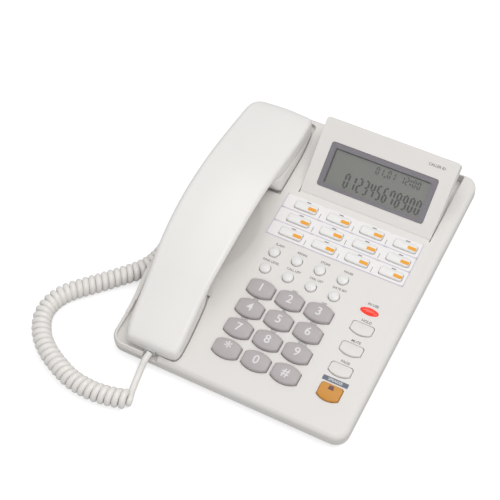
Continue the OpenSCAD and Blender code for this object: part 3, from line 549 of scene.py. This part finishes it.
kept = {
    # node: (finish, body, slot, softened edge in mm)
    "top_shell": ("shell", "base", "shell_plastic", 0.25),
    "bottom_shell": ("base", "base", "shell_plastic", 0.3),
    "rubber_feet": ("rubber", "base", "foot_rubber", 0.4),
    "shell_screws": ("steel", "base", "screw_steel", 0.08),
    "circuit_board": ("board", "base", "board_laminate", 0.1),
    "key_mat": ("mat", "base", "mat_rubber", 0.1),
    "loudspeaker": ("dark", "base", "capsule_metal", 0.2),
    "modular_jacks": ("jack", "base", "jack_plastic", 0.15),
    "hook_plunger": ("shell", "hook", "shell_plastic", 0.3),
    "earpiece": ("dark", "handset", "capsule_metal", 0.2),
    "microphone": ("dark", "handset", "capsule_metal", 0.2),
    "handset_screws": ("steel", "handset", "screw_steel", 0.1),
    "display_front": ("shell", "display", "shell_plastic", 0.5),
    "display_back": ("shell", "display", "shell_plastic", 0.5),
}
for node, (finish, body, slotName, bevel) in kept.items():
    dressNode(node, finishes[finish], body, slotName, bevel)
for node in ("handset_plug", "base_plug"):
    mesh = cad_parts[node].data
    mesh.materials.clear()
    mesh.materials.append(finishes["clear"])
print("CAD nodes dressed")

# Keys

dialKeyPlan = {
    "x": 11.4, "s": 54.5, "pitchX": 22.5, "pitchS": 17.3, "w": 19.7, "d": 14.5,
    "rise": 2.8, "edge": 1.4, "dome": 0.55, "crown": (9.8, 7.2),
    "digitHeight": 6.6, "digitDepth": 0.3, "digitBold": 0.12, "starScale": 1.35, "letterHeight": 1.7,
    "names": ["key_1", "key_2", "key_3", "key_4", "key_5", "key_6", "key_7", "key_8", "key_9",
              "key_star", "key_0", "key_hash"],
    "digits": "123456789*0#",
    "letters": ["", "ABC", "DEF", "GHI", "JKL", "MNO", "PQRS", "TUV", "WXYZ", "", "", ""],
}
memoryKeyPlan = {
    "x": 26.8, "s": 143.3, "pitchX": 26.2, "pitchS": 12.6, "w": 17.5, "d": 7,
    "rise": 1.8, "edge": 0.8, "dome": 0.15,
    "markX": 5.2, "markS": -0.7, "markW": 6.5, "markD": 2.7, "markSink": 0.3, "markRise": 0.12,
}
functionKeyPlan = {
    "x": 10.5, "s": 104.6, "pitchX": 18, "pitchS": 14.7, "w": 8, "d": 8,
    "rise": 1.8, "edge": 0.9, "dome": 0.5, "count": 48,
}
sideKeyPlan = {
    "x": 65.8, "s": 64.4, "pitchS": 17.3, "w": 16, "d": 9.5,
    "rise": 1.8, "edge": 0.9, "dome": 0.3, "drop": 1.0,
}
speakerKeyPlan = {
    "x": 66.3, "s": 28.9, "w": 16, "d": 12.4, "rise": 1.8, "edge": 1.0, "dome": 0.35,
    "mark": [(-1.5, 4.6), (-2.1, 1.6), (2.1, 1.6), (1.5, 4.6)], "markSink": 0.4, "markRise": 0.04,
}
keyBase = -2.9  # below the face, on the hidden flange


def gridPlace(index, columns, rows, plan):
    # place of a key on its grid, counted from the rear left
    column, row = index % columns, index // columns
    return (plan["x"] + (column - (columns - 1) / 2) * plan["pitchX"],
            plan["s"] + ((rows - 1) / 2 - row) * plan["pitchS"])


def keyPad(kind, plan, place, put=onFace, count=ringPlan["count"]):
    # one key's cap, from below the face to its crown
    return padSolid(kind, plan["w"], plan["d"], place, keyBase, plan["rise"], plan["edge"], plan["dome"],
                    put, count)


def addCap(name, parts):
    addPiece(name + ".cap", parts, name + "_body", [name])


def makeDialKeys(plan):
    for index, name in enumerate(plan["names"]):
        place = gridPlace(index, 3, 4, plan)
        pad = keyPad("dial", plan, place)
        tall = plan["digitHeight"] * (plan["starScale"] if plan["digits"][index] == "*" else 1)
        points, faces = wordMesh(plan["digits"][index], tall, plan["digitDepth"], plan["digitBold"])
        fall = (points[:, 0] / plan["crown"][0]) ** 2, (points[:, 1] / plan["crown"][1]) ** 2
        lift = plan["rise"] + plan["dome"] * (1 - fall[0] - fall[1])
        digit = onFace(place[0] + points[:, 0], place[1] + points[:, 1], lift + points[:, 2])
        addCap(name, [(*pad, finishes["dialKey"]), (digit, faces, finishes["digit"])])


def makeMemoryKeys(plan):
    top = plan["rise"] + plan["dome"]
    for index in range(12):
        place = gridPlace(index, 4, 3, plan)
        pad = keyPad("bar", plan, place)
        markPlace = (place[0] + plan["markX"], place[1] + plan["markS"])
        mark = padSolid("mark", plan["markW"], plan["markD"], markPlace, plan["rise"] - plan["markSink"],
                        top + plan["markRise"], plan["markRise"], 0.0)
        addCap(f"memory_key_{index + 1}", [(*pad, finishes["key"]), (*mark, finishes["orangeMark"])])


def slopedPut(middle, depth, drop):
    # as onFace, but what stands above the face sinks by drop towards the rear edge
    def put(x, s, h):
        share = np.clip((s - middle) / depth + 0.5, 0, 1)
        return onFace(x, s, h - drop * share * (np.asarray(h) > 0))
    return put


def makeFunctionKeys(plan):
    for index in range(8):
        pad = keyPad("round", plan, gridPlace(index, 4, 2, plan), count=plan["count"])
        addCap(f"function_key_{index + 1}", [(*pad, finishes["key"])])


def makeSideKeys(plan):
    for index in range(3):
        place = (plan["x"], plan["s"] + (1 - index) * plan["pitchS"])
        pad = keyPad("boat", plan, place, slopedPut(place[1], plan["d"], plan["drop"]))
        addCap(f"side_key_{index + 1}", [(*pad, finishes["shell"])])


def makeSpeakerKey(plan):
    place = (plan["x"], plan["s"])
    top = plan["rise"] + plan["dome"]
    flare = np.array(plan["mark"])
    mark = ringSolid(np.array([onFace(place[0] + flare[:, 0], place[1] + flare[:, 1], h)
                               for h in (top - plan["markSink"], top + plan["markRise"])]))
    pad = keyPad("boat", plan, place)
    addCap("speaker_key", [(*pad, finishes["orangeKey"]), (*mark, finishes["markInk"])])


makeDialKeys(dialKeyPlan)
makeMemoryKeys(memoryKeyPlan)
makeFunctionKeys(functionKeyPlan)
makeSideKeys(sideKeyPlan)
makeSpeakerKey(speakerKeyPlan)
print("keys made")

# Printed card, labels and lens

cardPlan = {
    "left": -30.0, "right": 77.8, "thickness": 0.25, "edge": 0.7, "edgeRise": 0.3, "lift": 0.01,
    "sideFront": 124.7, "sideRear": 162.5, "cellX": 13.1, "cellS": 6.3, "cellGap": 0.05, "hole": 0.5,
    # small bars as left, front, right, rear and rise, measured from each key's middle
    "name": (-1.5, 4.3, 1.7, 5.1, 0.06), "tick": (12.0, -4.6, 12.4, -0.2, 0.05),
}
lipPlan = {"half": 51.4, "section": [(-5.25, 3.4), (-3.4, 3.35), (-4.31, 2.0), (-4.64, 1.0), (-5.25, 1.0)]}
labelPlan = {
    "function": ["FLASH", "REDIAL", "STORE", "PAUSE", "RING LEVEL", "CALL LIST", "DIAL LIST", "DATE SET"],
    "side": ["HOLD", "MUTE", "PAGE"], "lens": "IN USE", "speaker": "SPEAKER",
    "height": 1.8, "sideHeight": 2.0, "speakerHeight": 2.0, "bold": 0.04, "depth": 0.08, "lift": 0.05,
    # from each key's middle to its words
    "functionAt": (1.2, 6.9), "sideAt": (0.6, 7.0), "letterAt": 8.65,
    "lensAt": (65.3, 102.4), "band": (66.4, 38.4, 18.8, 3.6), "bandRise": 0.08, "bandLift": 0.1,
}
lensPlan = {
    "x": 64.9, "s": 96.7, "halfX": 6.75, "halfS": 2.75, "count": 40,
    # share of the outline and height, from the hidden foot to the crown
    "profile": [(1, -3.0), (1, 0.35), (0.93, 0.75), (0.75, 1.0), (0.4, 1.15), (0.1, 1.2)],
}


def hoopFaces(count):
    # faces of a closed band through four rings
    last = 3 * count
    wrap = [[last + j, last + (j + 1) % count, (j + 1) % count, j] for j in range(count)]
    return ringFaces(4, count) + wrap


def cardCell(plan, place, low, high, count=ringPlan["count"]):
    # a rectangle with a key-shaped hole: the outer ring follows the rays of the hole's outline
    x, y = keyRing("bar", memoryKeyPlan["w"] + plan["hole"], memoryKeyPlan["d"] + plan["hole"], 0, count)
    reach = np.full(count, 1e9)
    for value, axis, limit in ((x, 0, high), (x, 0, low), (y, 1, high), (y, 1, low)):
        room = (limit[axis] - place[axis]) / np.where(np.abs(value) < 1e-9, 1e-9, value)
        reach = np.where(room > 0, np.minimum(reach, room), reach)
    rings = []
    for share, h in ((0, 0.0), (0, plan["thickness"]), (1, plan["thickness"]), (1, 0.0)):
        stretch = 1 + share * (reach - 1)
        rings.append(onFace(place[0] + x * stretch, place[1] + y * stretch, h + plan["lift"]))
    return np.array(rings)[::-1].reshape(-1, 3), hoopFaces(count)


def cardBar(place, bounds, base):
    x0, s0, x1, s1, rise = bounds
    return boxSolid((place[0] + x0, place[1] + s0, base), (place[0] + x1, place[1] + s1, base + rise))


def makeCard(plan):
    cells, bars, edges = [], [], []
    edge, rise = plan["edge"], plan["edgeRise"]
    for index in range(12):
        place = gridPlace(index, 4, 3, memoryKeyPlan)
        column = index % 4
        left = plan["left"] + edge if column == 0 else place[0] - plan["cellX"]
        right = plan["right"] - edge if column == 3 else place[0] + plan["cellX"]
        front, rear = place[1] - plan["cellS"], place[1] + plan["cellS"]
        cells.append(cardCell(plan, place, (left, front + edge), (right, rear - plan["cellGap"])))
        bars.append(cardBar(place, plan["name"], plan["thickness"]))
        if column < 3:
            bars.append(cardBar(place, plan["tick"], plan["thickness"]))
        else:
            edges.append(boxSolid((plan["left"], front, 0.0), (plan["right"], front + edge, rise)))
    for x in (plan["left"], plan["right"] - edge):
        edges.append(boxSolid((x, plan["sideFront"], 0.0), (x + edge, plan["sideRear"], rise)))
    addPiece("memoryCard", [joined(cells, finishes["card"]), joined(edges, finishes["cardEdge"]),
                            joined(bars, finishes["ink"])], "base", sharpAngle=20)


def faceWord(words, place, height, bold=0.0, lift=labelPlan["lift"]):
    # letters laid on the face, centred on place
    points, faces = wordMesh(words, height, labelPlan["depth"], bold)
    return onFace(place[0] + points[:, 0], place[1] + points[:, 1], lift + points[:, 2]), faces


def makeLabels(plan):
    ink, bold = [], plan["bold"]
    stepX, stepS = plan["functionAt"]
    for index, words in enumerate(plan["function"]):
        x, s = gridPlace(index, 4, 2, functionKeyPlan)
        ink.append(faceWord(words, (x + stepX, s + stepS), plan["height"], bold))
    for index, words in enumerate(plan["side"]):
        s = sideKeyPlan["s"] + (1 - index) * sideKeyPlan["pitchS"] + plan["sideAt"][1]
        ink.append(faceWord(words, (sideKeyPlan["x"] + plan["sideAt"][0], s), plan["sideHeight"], bold))
    for index, words in enumerate(dialKeyPlan["letters"]):
        if words:
            x, s = gridPlace(index, 3, 4, dialKeyPlan)
            ink.append(faceWord(words, (x, s + plan["letterAt"]), dialKeyPlan["letterHeight"]))
    x, s, w, d = plan["band"]
    slate = [faceWord(plan["lens"], plan["lensAt"], plan["sideHeight"], bold),
             boxSolid((x - w / 2, s - d / 2, 0.0), (x + w / 2, s + d / 2, plan["bandRise"]))]
    pale = [faceWord(plan["speaker"], (x, s), plan["speakerHeight"], bold, plan["bandLift"])]
    addPiece("faceLabels", [joined(ink, finishes["ink"]), joined(slate, finishes["slate"]),
                            joined(pale, finishes["pale"])], "base", sharpAngle=20)


def makeHingeLip(plan):
    # fills the step in front of the hinge barrel up to a running gap, and never moves
    left, right = displayPlan["x"] - plan["half"], displayPlan["x"] + plan["half"]
    section = np.array(plan["section"])[::-1]
    s, h = displayPlan["hingeS"] + section[:, 0], displayPlan["hingeH"] + section[:, 1]
    solid = ringSolid(np.array([onFace(x, s, h) for x in (left, right)]))
    addPiece("hingeLip", [(*solid, finishes["shell"])], "base")


def makeLens(plan):
    angle = np.arange(plan["count"]) / plan["count"] * 2 * math.pi
    rings = [onFace(plan["x"] + plan["halfX"] * share * np.cos(angle),
                    plan["s"] + plan["halfS"] * share * np.sin(angle), h) for share, h in plan["profile"]]
    addPiece("in_use_lens.cap", [(*ringSolid(np.array(rings)), finishes["lens"])], "base",
             ["in_use_lens"])


makeCard(cardPlan)
makeLabels(labelPlan)
makeLens(lensPlan)
makeHingeLip(lipPlan)
print("card, labels and lens made")

# Display window and panel

windowPlan = {
    "w": 84, "d": 34, "corner": 2.0, "innerCorner": 0.8,
    "left": 4.2, "right": 4.3, "rear": 3.8, "front": 2.7,
    "top": 4.5, "borderRise": 0.03, "sink": 1.6, "panel": 0.6, "figureLift": 0.01,
    # the dark strips along the LCD's rear and left inner edges are painted shadow cast by the border
    "shadeStrip": 0.9, "shadeStripRise": 0.3, "shadeStripRight": 1.5, "shadeStripFront": 1.2, "pane": (0.06, 0.16), "paneGap": 0.05,
    "word": "CALLER ID", "wordPlace": (36.9, 50.0), "wordHeight": 2.0, "wordDepth": 0.08, "wordBold": 0.05,
    "wordLift": 0.04,
}
segmentPlan = {
    "big": {"text": "012345678900", "x": -21.8, "pitch": 5.11, "v": 17.4, "w": 4.0, "h": 11.6, "bar": 1.4},
    "small": {"text": "01.01 12:00", "x": -2.9, "pitch": 3.5, "v": 32.3, "w": 2.8, "h": 6.2, "bar": 1.0},
    "slant": 0.02, "split": 0.12, "dotInset": 0.1, "dotHalf": 0.7, "dotPitch": 0.62, "rise": 0.05,
}
litBars = {"0": "abcdef", "1": "bc", "2": "abged", "3": "abgcd", "4": "fgbc", "5": "afgcd", "6": "afgedc",
           "7": "abcf", "8": "abcdefg", "9": "abcdfg", ".": "p", ":": "q", " ": ""}


def segmentShapes(plan, height):
    # six-sided bars and dots of each figure, slanted, as flat solids on the panel
    w, h, b = plan["w"], plan["h"], plan["bar"]
    g = segmentPlan["split"] * b
    dotLeft, dotHalf = -w / 2 + segmentPlan["dotInset"], segmentPlan["dotHalf"] * b

    def level(y):
        return [(-w / 2 + b / 2 + g, y), (-w / 2 + b + g, y + b / 2), (w / 2 - b - g, y + b / 2),
                (w / 2 - b / 2 - g, y), (w / 2 - b - g, y - b / 2), (-w / 2 + b + g, y - b / 2)]

    def stand(x, y0, y1):
        return [(x, y0 + g), (x + b / 2, y0 + b / 2 + g), (x + b / 2, y1 - b / 2 - g),
                (x, y1 - g), (x - b / 2, y1 - b / 2 - g), (x - b / 2, y0 + b / 2 + g)]

    def dot(y):
        return [(dotLeft, y - dotHalf), (dotLeft + 2 * dotHalf, y - dotHalf),
                (dotLeft + 2 * dotHalf, y + dotHalf), (dotLeft, y + dotHalf)]

    low, high, side = -h / 2 + b / 2, h / 2 - b / 2, w / 2 - b / 2
    shapes = {"a": [level(high)], "g": [level(0)], "d": [level(low)], "p": [dot(low)],
              "q": [dot(h / 5), dot(-h / 5)], "b": [stand(side, 0, high)], "c": [stand(side, low, 0)],
              "f": [stand(-side, 0, high)], "e": [stand(-side, low, 0)]}
    made, x = [], plan["x"]
    for letter in plan["text"]:
        for outline in (outline for bar in litBars[letter] for outline in shapes[bar]):
            ring = np.array(outline)
            if np.cross(ring[1] - ring[0], ring[2] - ring[1]) < 0:
                ring = ring[::-1]
            px, pv = x + ring[:, 0] + segmentPlan["slant"] * ring[:, 1], plan["v"] + ring[:, 1]
            rings = [onDisplay(px, pv, height + k) for k in (0, segmentPlan["rise"])]
            made.append(ringSolid(np.array(rings)))
        x += plan["pitch"] * (segmentPlan["dotPitch"] if letter in ".:" else 1)
    return made


def frameRings(outer, inner, low, high):
    # a flat frame on the display between two outlines of the same number of points
    rings = [onDisplay(*line, h) for line, h in ((outer, low), (outer, high), (inner, high), (inner, low))]
    return np.array(rings).reshape(-1, 3), hoopFaces(len(outer[0]))


def rectRing(left, right, front, rear, r, count=16):
    # outline of a rectangle with round corners, anticlockwise from the front right corner
    a = np.linspace(0, math.pi / 2, count)
    x = np.concatenate([right - r + r * np.sin(a), right - r + r * np.cos(a),
                        left + r - r * np.sin(a), left + r - r * np.cos(a)])
    v = np.concatenate([front + r - r * np.cos(a), rear - r + r * np.sin(a),
                        rear - r + r * np.cos(a), front + r - r * np.sin(a)])
    return x, v


def makeDisplay(plan):
    left, right = -plan["w"] / 2, plan["w"] / 2
    front, rear = displayPlan["windowV"] - plan["d"] / 2, displayPlan["windowV"] + plan["d"] / 2
    x0, x1 = left + plan["left"], right - plan["right"]
    v0, v1 = front + plan["front"], rear - plan["rear"]
    top, low, shadeStrip = plan["top"], plan["top"] - plan["sink"], plan["shadeStrip"]
    outer = rectRing(left, right, front, rear, plan["corner"])
    inner = rectRing(x0, x1, v0, v1, plan["innerCorner"])
    border = frameRings(outer, inner, low, top + plan["borderRise"])
    addPiece("displayBorder", [(*border, finishes["bezel"])], "display")
    panel = ringSolid(np.array([onDisplay(*outer, low - k) for k in (plan["panel"], 0.0)]))
    # painted shadow: dark strips along the LCD's rear and left inner edges, in the segments' ink, stand for
    # the border's shadow
    high = low + plan["shadeStripRise"]
    shadeStrips = [boxSolid((x0, v1 - shadeStrip, low), (x1 - plan["shadeStripRight"], v1, high), onDisplay),
             boxSolid((x0, v0 + plan["shadeStripFront"], low), (x0 + shadeStrip, v1 - shadeStrip, high), onDisplay)]
    big, small = (segmentShapes(segmentPlan[name], low + plan["figureLift"]) for name in ("big", "small"))
    parts = [(*panel, finishes["lcd"]), joined(big + shadeStrips, finishes["segment"]),
             joined(small, finishes["faintSegment"])]
    addPiece("lcd_panel.skin", parts, "display", ["lcd_panel"])
    points, faces = wordMesh(plan["word"], plan["wordHeight"], plan["wordDepth"], plan["wordBold"])
    x, v = plan["wordPlace"]
    word = onDisplay(x + points[:, 0], v + points[:, 1], top + plan["wordLift"] + points[:, 2])
    addPiece("displayWord", [(word, faces, finishes["ink"])], "display", sharpAngle=20)
    gap = plan["paneGap"]
    pane = rectRing(left + gap, right - gap, front + gap, rear - gap, plan["corner"])
    clear = ringSolid(np.array([onDisplay(*pane, top + k) for k in plan["pane"]]))
    addPiece("display_window.pane", [(*clear, finishes["window"])], "display",
             ["display_window"])


makeDisplay(windowPlan)
print("display made")

# Handset

handsetPlan = {
    "x": -60.6, "tip": 4.5, "length": 221, "crown": 1.2, "topRound": 5.0, "rightRound": 3.6, "lowRound": 3.0,
    "endRound": 1.6, "wall": 1.8, "gap": 0.12, "seamRoom": 0.3, "topShare": 0.42, "lowShare": 0.25,
    "lowInset": 0.6, "crownSteps": 13, "sharpAngle": 50,
    "earHoles": 186, "voiceHoles": 28, "screws": (39, 161),
    # each line against the distance from the mouth tip
    "back": [(0, 6.4), (0.5, 7.2), (1.5, 8.4), (3, 9.4), (5.5, 10.4), (11.5, 12.1), (18.5, 14), (26.5, 16),
             (33.5, 18), (40.5, 20.2), (47.5, 22.5), (55.5, 24.9), (64.5, 26.9), (70.5, 27.9), (82.5, 29.4),
             (95.5, 30.6), (109.5, 31.3), (122.5, 31.5), (136.5, 31.1), (146.5, 30.2), (156.5, 28.8),
             (165.5, 27.1), (175.5, 25), (185.5, 22.8), (196.5, 20.2), (207.5, 17.3), (213.5, 15.2),
             (217.5, 12.8), (219.5, 10.6), (220.5, 8.6), (221, 6.6)],
    "under": [(0, -1.6), (0.8, -2.7), (2, -3), (49, -3), (51, 3), (53, 9), (55, 12.8), (58, 14.8),
              (66, 16.2), (80, 17.6), (100, 18.6), (125, 19), (144, 18.8), (149, 16.4), (152, 10),
              (155, 2.5), (157, -3), (217, -3), (219.5, -2), (221, 0.5)],
    "left": [(0, -15), (0.5, -16), (1.5, -16.9), (5.5, -18.4), (11.5, -19.6), (18.5, -20.6), (26.5, -21.2),
             (33.5, -21.7), (40.5, -22.3), (47.5, -22.9), (55.5, -23.8), (64.5, -25), (75.5, -26.3),
             (89.5, -27.6), (102.5, -28.3), (115.5, -28.8), (207.5, -28.8), (212, -28.2), (215.5, -26.7),
             (218, -24.6), (219.5, -22.4), (221, -18)],
    "right": [(0, 18.5), (0.5, 20), (1.5, 21.6), (3, 22.6), (5.5, 23.2), (15.5, 23.2), (25.5, 23),
              (40.5, 22.6), (55.5, 23), (70.5, 23.6), (95.5, 23.9), (125.5, 24.1), (145.5, 24.8),
              (190.5, 24.8), (200.5, 24.1), (207.5, 23.3), (213.5, 22.4), (217.5, 21), (219.5, 19.2),
              (221, 15.5)],
    "leftDraft": [(0, 0), (8, 0.2), (52, 3), (60, 4.4), (145, 4.6), (157, 5.4), (212, 5.4), (216, 4),
                  (221, 1)],
    "rightDraft": [(0, 0), (8, 0), (19.5, 0.5), (27.5, 1.1), (36.5, 1.7), (44.5, 2.5), (52.5, 4.4),
                   (145, 4.4), (157, 0.2), (221, 0.2)],
    "seam": [(-5, 3.8), (12, 4.2), (26, 7.4), (40, 11.4), (50, 16.4), (62, 18.8), (80, 20.8), (100, 22),
             (143, 22), (152, 20.2), (165, 15), (185, 10.5), (205, 6.8), (226, 4)],
}


linePlan = {
    "low": -20, "high": 241, "step": 0.1, "reach": 4, "blendFrom": 3, "blendOver": 8,
    "nearBlur": 0.35, "broadBlur": 2.2, "draftBlur": 2.0, "underBlur": 1.2, "seamBlur": 3.0,
    "stations": 140, "firstStation": 5.2, "wallSteps": 5, "topSteps": 9, "lowSteps": 6,
    "endStations": (0, 0.08, 0.2, 0.4, 0.7, 1.1, 1.6, 2.2, 3, 4),
}


def smoothLine(points, at, blur):
    # straight pieces between the points, rounded by a bell of width blur
    p = np.array(points, float)
    step, reach = linePlan["step"], linePlan["reach"] * blur
    fine = np.arange(linePlan["low"], linePlan["high"], step)
    slope0 = (p[1, 1] - p[0, 1]) / (p[1, 0] - p[0, 0])
    slope1 = (p[-1, 1] - p[-2, 1]) / (p[-1, 0] - p[-2, 0])
    value = np.interp(fine, p[:, 0], p[:, 1])
    value = np.where(fine < p[0, 0], p[0, 1] + slope0 * (fine - p[0, 0]), value)
    value = np.where(fine > p[-1, 0], p[-1, 1] + slope1 * (fine - p[-1, 0]), value)
    bell = np.exp(-0.5 * (np.arange(-reach, reach + step / 2, step) / blur) ** 2)
    value = np.convolve(np.pad(value, len(bell) // 2, "edge"), bell / bell.sum(), "valid")
    return np.interp(at, fine, value[:len(fine)])


def profileLine(points, at, length):
    # fine rounding near both ends, broad rounding between them
    near, broad = (smoothLine(points, at, linePlan[name]) for name in ("nearBlur", "broadBlur"))
    inner = np.minimum(at, length - at) - linePlan["blendFrom"]
    return near + (broad - near) * np.clip(inner / linePlan["blendOver"], 0, 1)


def handsetStations(length):
    ends, first = np.array(linePlan["endStations"]), linePlan["firstStation"]
    inner = np.linspace(first, length - first, linePlan["stations"])
    return np.concatenate([ends, inner, length - ends[::-1]])


def handsetRings(plan):
    # for each station: the sides and their drafts, back and underside heights, and the seam's height
    length = plan["length"]
    u = handsetStations(length)
    end = np.minimum(np.minimum(u, length - u), plan["endRound"])
    inset = plan["endRound"] - np.sqrt(plan["endRound"] ** 2 - (plan["endRound"] - end) ** 2)
    left = profileLine(plan["left"], u, length) + inset
    right = profileLine(plan["right"], u, length) - inset
    drafts = [smoothLine(plan[name], u, linePlan["draftBlur"]) for name in ("leftDraft", "rightDraft")]
    t = profileLine(plan["back"], u, length) - inset
    b = smoothLine(plan["under"], u, linePlan["underBlur"]) + inset * plan["lowInset"]
    return u, left, right, *drafts, t, b, smoothLine(plan["seam"], u, linePlan["seamBlur"])


def handsetSide(x, draft, t, b, rt, rb, edge, upper):
    # outward side of one half in section, from the seam to the middle; x counts away from the middle
    top, bottom = t - rt, b + rb
    edgeX = x - draft * (top - edge) / np.maximum(top - bottom, 0.1)
    endX, endZ, radius, sign = (x, top, rt, 1) if upper else (x - draft, bottom, rb, -1)
    share = np.linspace(0, 1, linePlan["wallSteps"])[:-1]
    turn = np.linspace(0, math.pi / 2, linePlan["topSteps" if upper else "lowSteps"])
    flat = endX - radius
    edgeX, edge, endX, endZ, radius = (values[:, None] for values in (edgeX, edge, endX, endZ, radius))
    sideX, sideZ = edgeX + (endX - edgeX) * share, edge + (endZ - edge) * share
    turnX, turnZ = endX - radius + radius * np.cos(turn), endZ + sign * radius * np.sin(turn)
    return np.hstack([sideX, turnX]), np.hstack([sideZ, turnZ]), flat


def handsetShell(plan, upper):
    # half of the handset's skin: from the right seam over the back to the left seam, or round the underside
    u, left, right, leftDraft, rightDraft, t, b, seam = handsetRings(plan)
    rt, rr = (np.minimum(plan[name], (t - b) * plan["topShare"]) for name in ("topRound", "rightRound"))
    rb = np.minimum(plan["lowRound"], (t - b) * plan["lowShare"])
    edge = np.clip(seam, b + rb + plan["seamRoom"], t - rt - plan["seamRoom"])
    edge = edge + plan["gap"] * (1 if upper else -1)
    x1, z1, flat1 = handsetSide(right, rightDraft, t, b, rr, rb, edge, upper)
    x2, z2, flat2 = handsetSide(-left, leftDraft, t, b, rt, rb, edge, upper)
    span = np.linspace(1, -1, plan["crownSteps"])[1:-1]
    middle, half = (flat1 - flat2)[:, None] / 2, (flat1 + flat2)[:, None] / 2
    rise = plan["crown"] * (1 - span**2) ** 1.5 if upper else 0 * span
    x = np.hstack([x1, middle + half * span, -x2[:, ::-1]])
    z = np.hstack([z1, (t if upper else b)[:, None] + rise, z2[:, ::-1]])
    grid = onFace(plan["x"] + x, plan["tip"] + u[:, None], z)
    rows, columns = grid.shape[:2]
    faces = ringFaces(rows, columns, closed=False)
    first = list(range(columns))
    last = [(rows - 1) * columns + j for j in range(columns)]
    if upper:
        faces = [face[::-1] for face in faces] + [first, last[::-1]]
    else:
        faces += [first[::-1], last]
    return grid.reshape(-1, 3), faces


def pinSolid(x, s, h0, h1, r, count):
    # upright round pin, square to the face
    a = np.arange(count) / count * 2 * math.pi
    return ringSolid(np.array([onFace(x + r * np.cos(a), s + r * np.sin(a), h) for h in (h0, h1)]))


cutPlan = {
    "heights": (-6, 2), "earHole": 1.2, "voiceHole": 0.8, "voiceX": (-3, 0, 3), "screwHole": 2.6,
    "sides": 24, "voiceSides": 16,
    # rings of earpiece holes: reach, how many and the turn of the first in pitches
    "earRings": [(6, 6, 0), (11.5, 10, 0.5)],
    # the socket's corners, with s measured from the tip
    "socket": ((-61.5, -3, -2.3), (-53.7, 11, 3.9)),
}


def frontCuts(plan):
    # holes of the earpiece, the microphone and the screws, and the socket in the mouth tip
    def pin(x, u, radius, count=cutPlan["sides"]):
        return pinSolid(plan["x"] + x, plan["tip"] + u, *cutPlan["heights"], radius, count)

    pins = [pin(0, plan["earHoles"], cutPlan["earHole"])]
    for reach, holes, shift in cutPlan["earRings"]:
        for i in range(holes):
            a = (i + shift) * math.pi / (holes / 2)
            pins.append(pin(reach * math.cos(a), plan["earHoles"] + reach * math.sin(a), cutPlan["earHole"]))
    for x in cutPlan["voiceX"]:
        pins.append(pin(x, plan["voiceHoles"], cutPlan["voiceHole"], cutPlan["voiceSides"]))
    pins += [pin(0, u, cutPlan["screwHole"]) for u in plan["screws"]]
    pins.append(boxSolid(*[(x, plan["tip"] + u, h) for x, u, h in cutPlan["socket"]]))
    return joined(pins, finishes["dark"])


def carve(piece, cuts):
    # takes the cuts out of the piece and leaves its modifiers applied
    points, faces, material = cuts
    mesh = bpy.data.meshes.new("cuts")
    mesh.from_pydata(points.tolist(), [], faces)
    cutter = makeObject("cuts", mesh)
    hole = piece.modifiers.new("hole", "BOOLEAN")
    hole.object = cutter
    hole.solver = "EXACT"
    made = bpy.data.meshes.new_from_object(piece.evaluated_get(bpy.context.evaluated_depsgraph_get()))
    piece.modifiers.clear()
    piece.data = made
    bpy.data.objects.remove(cutter)


def makeHandset(plan):
    for upper, node in ((True, "handset_back"), (False, "handset_front")):
        skin = [(*handsetShell(plan, upper), finishes["handset"])]
        piece = addPiece(node + ".skin", skin, "handset", [node], plan["sharpAngle"])
        wall = piece.modifiers.new("wall", "SOLIDIFY")
        wall.thickness = plan["wall"] / 1000
        wall.offset = -1
        if not upper:
            carve(piece, frontCuts(plan))


makeHandset(handsetPlan)
print("handset made")
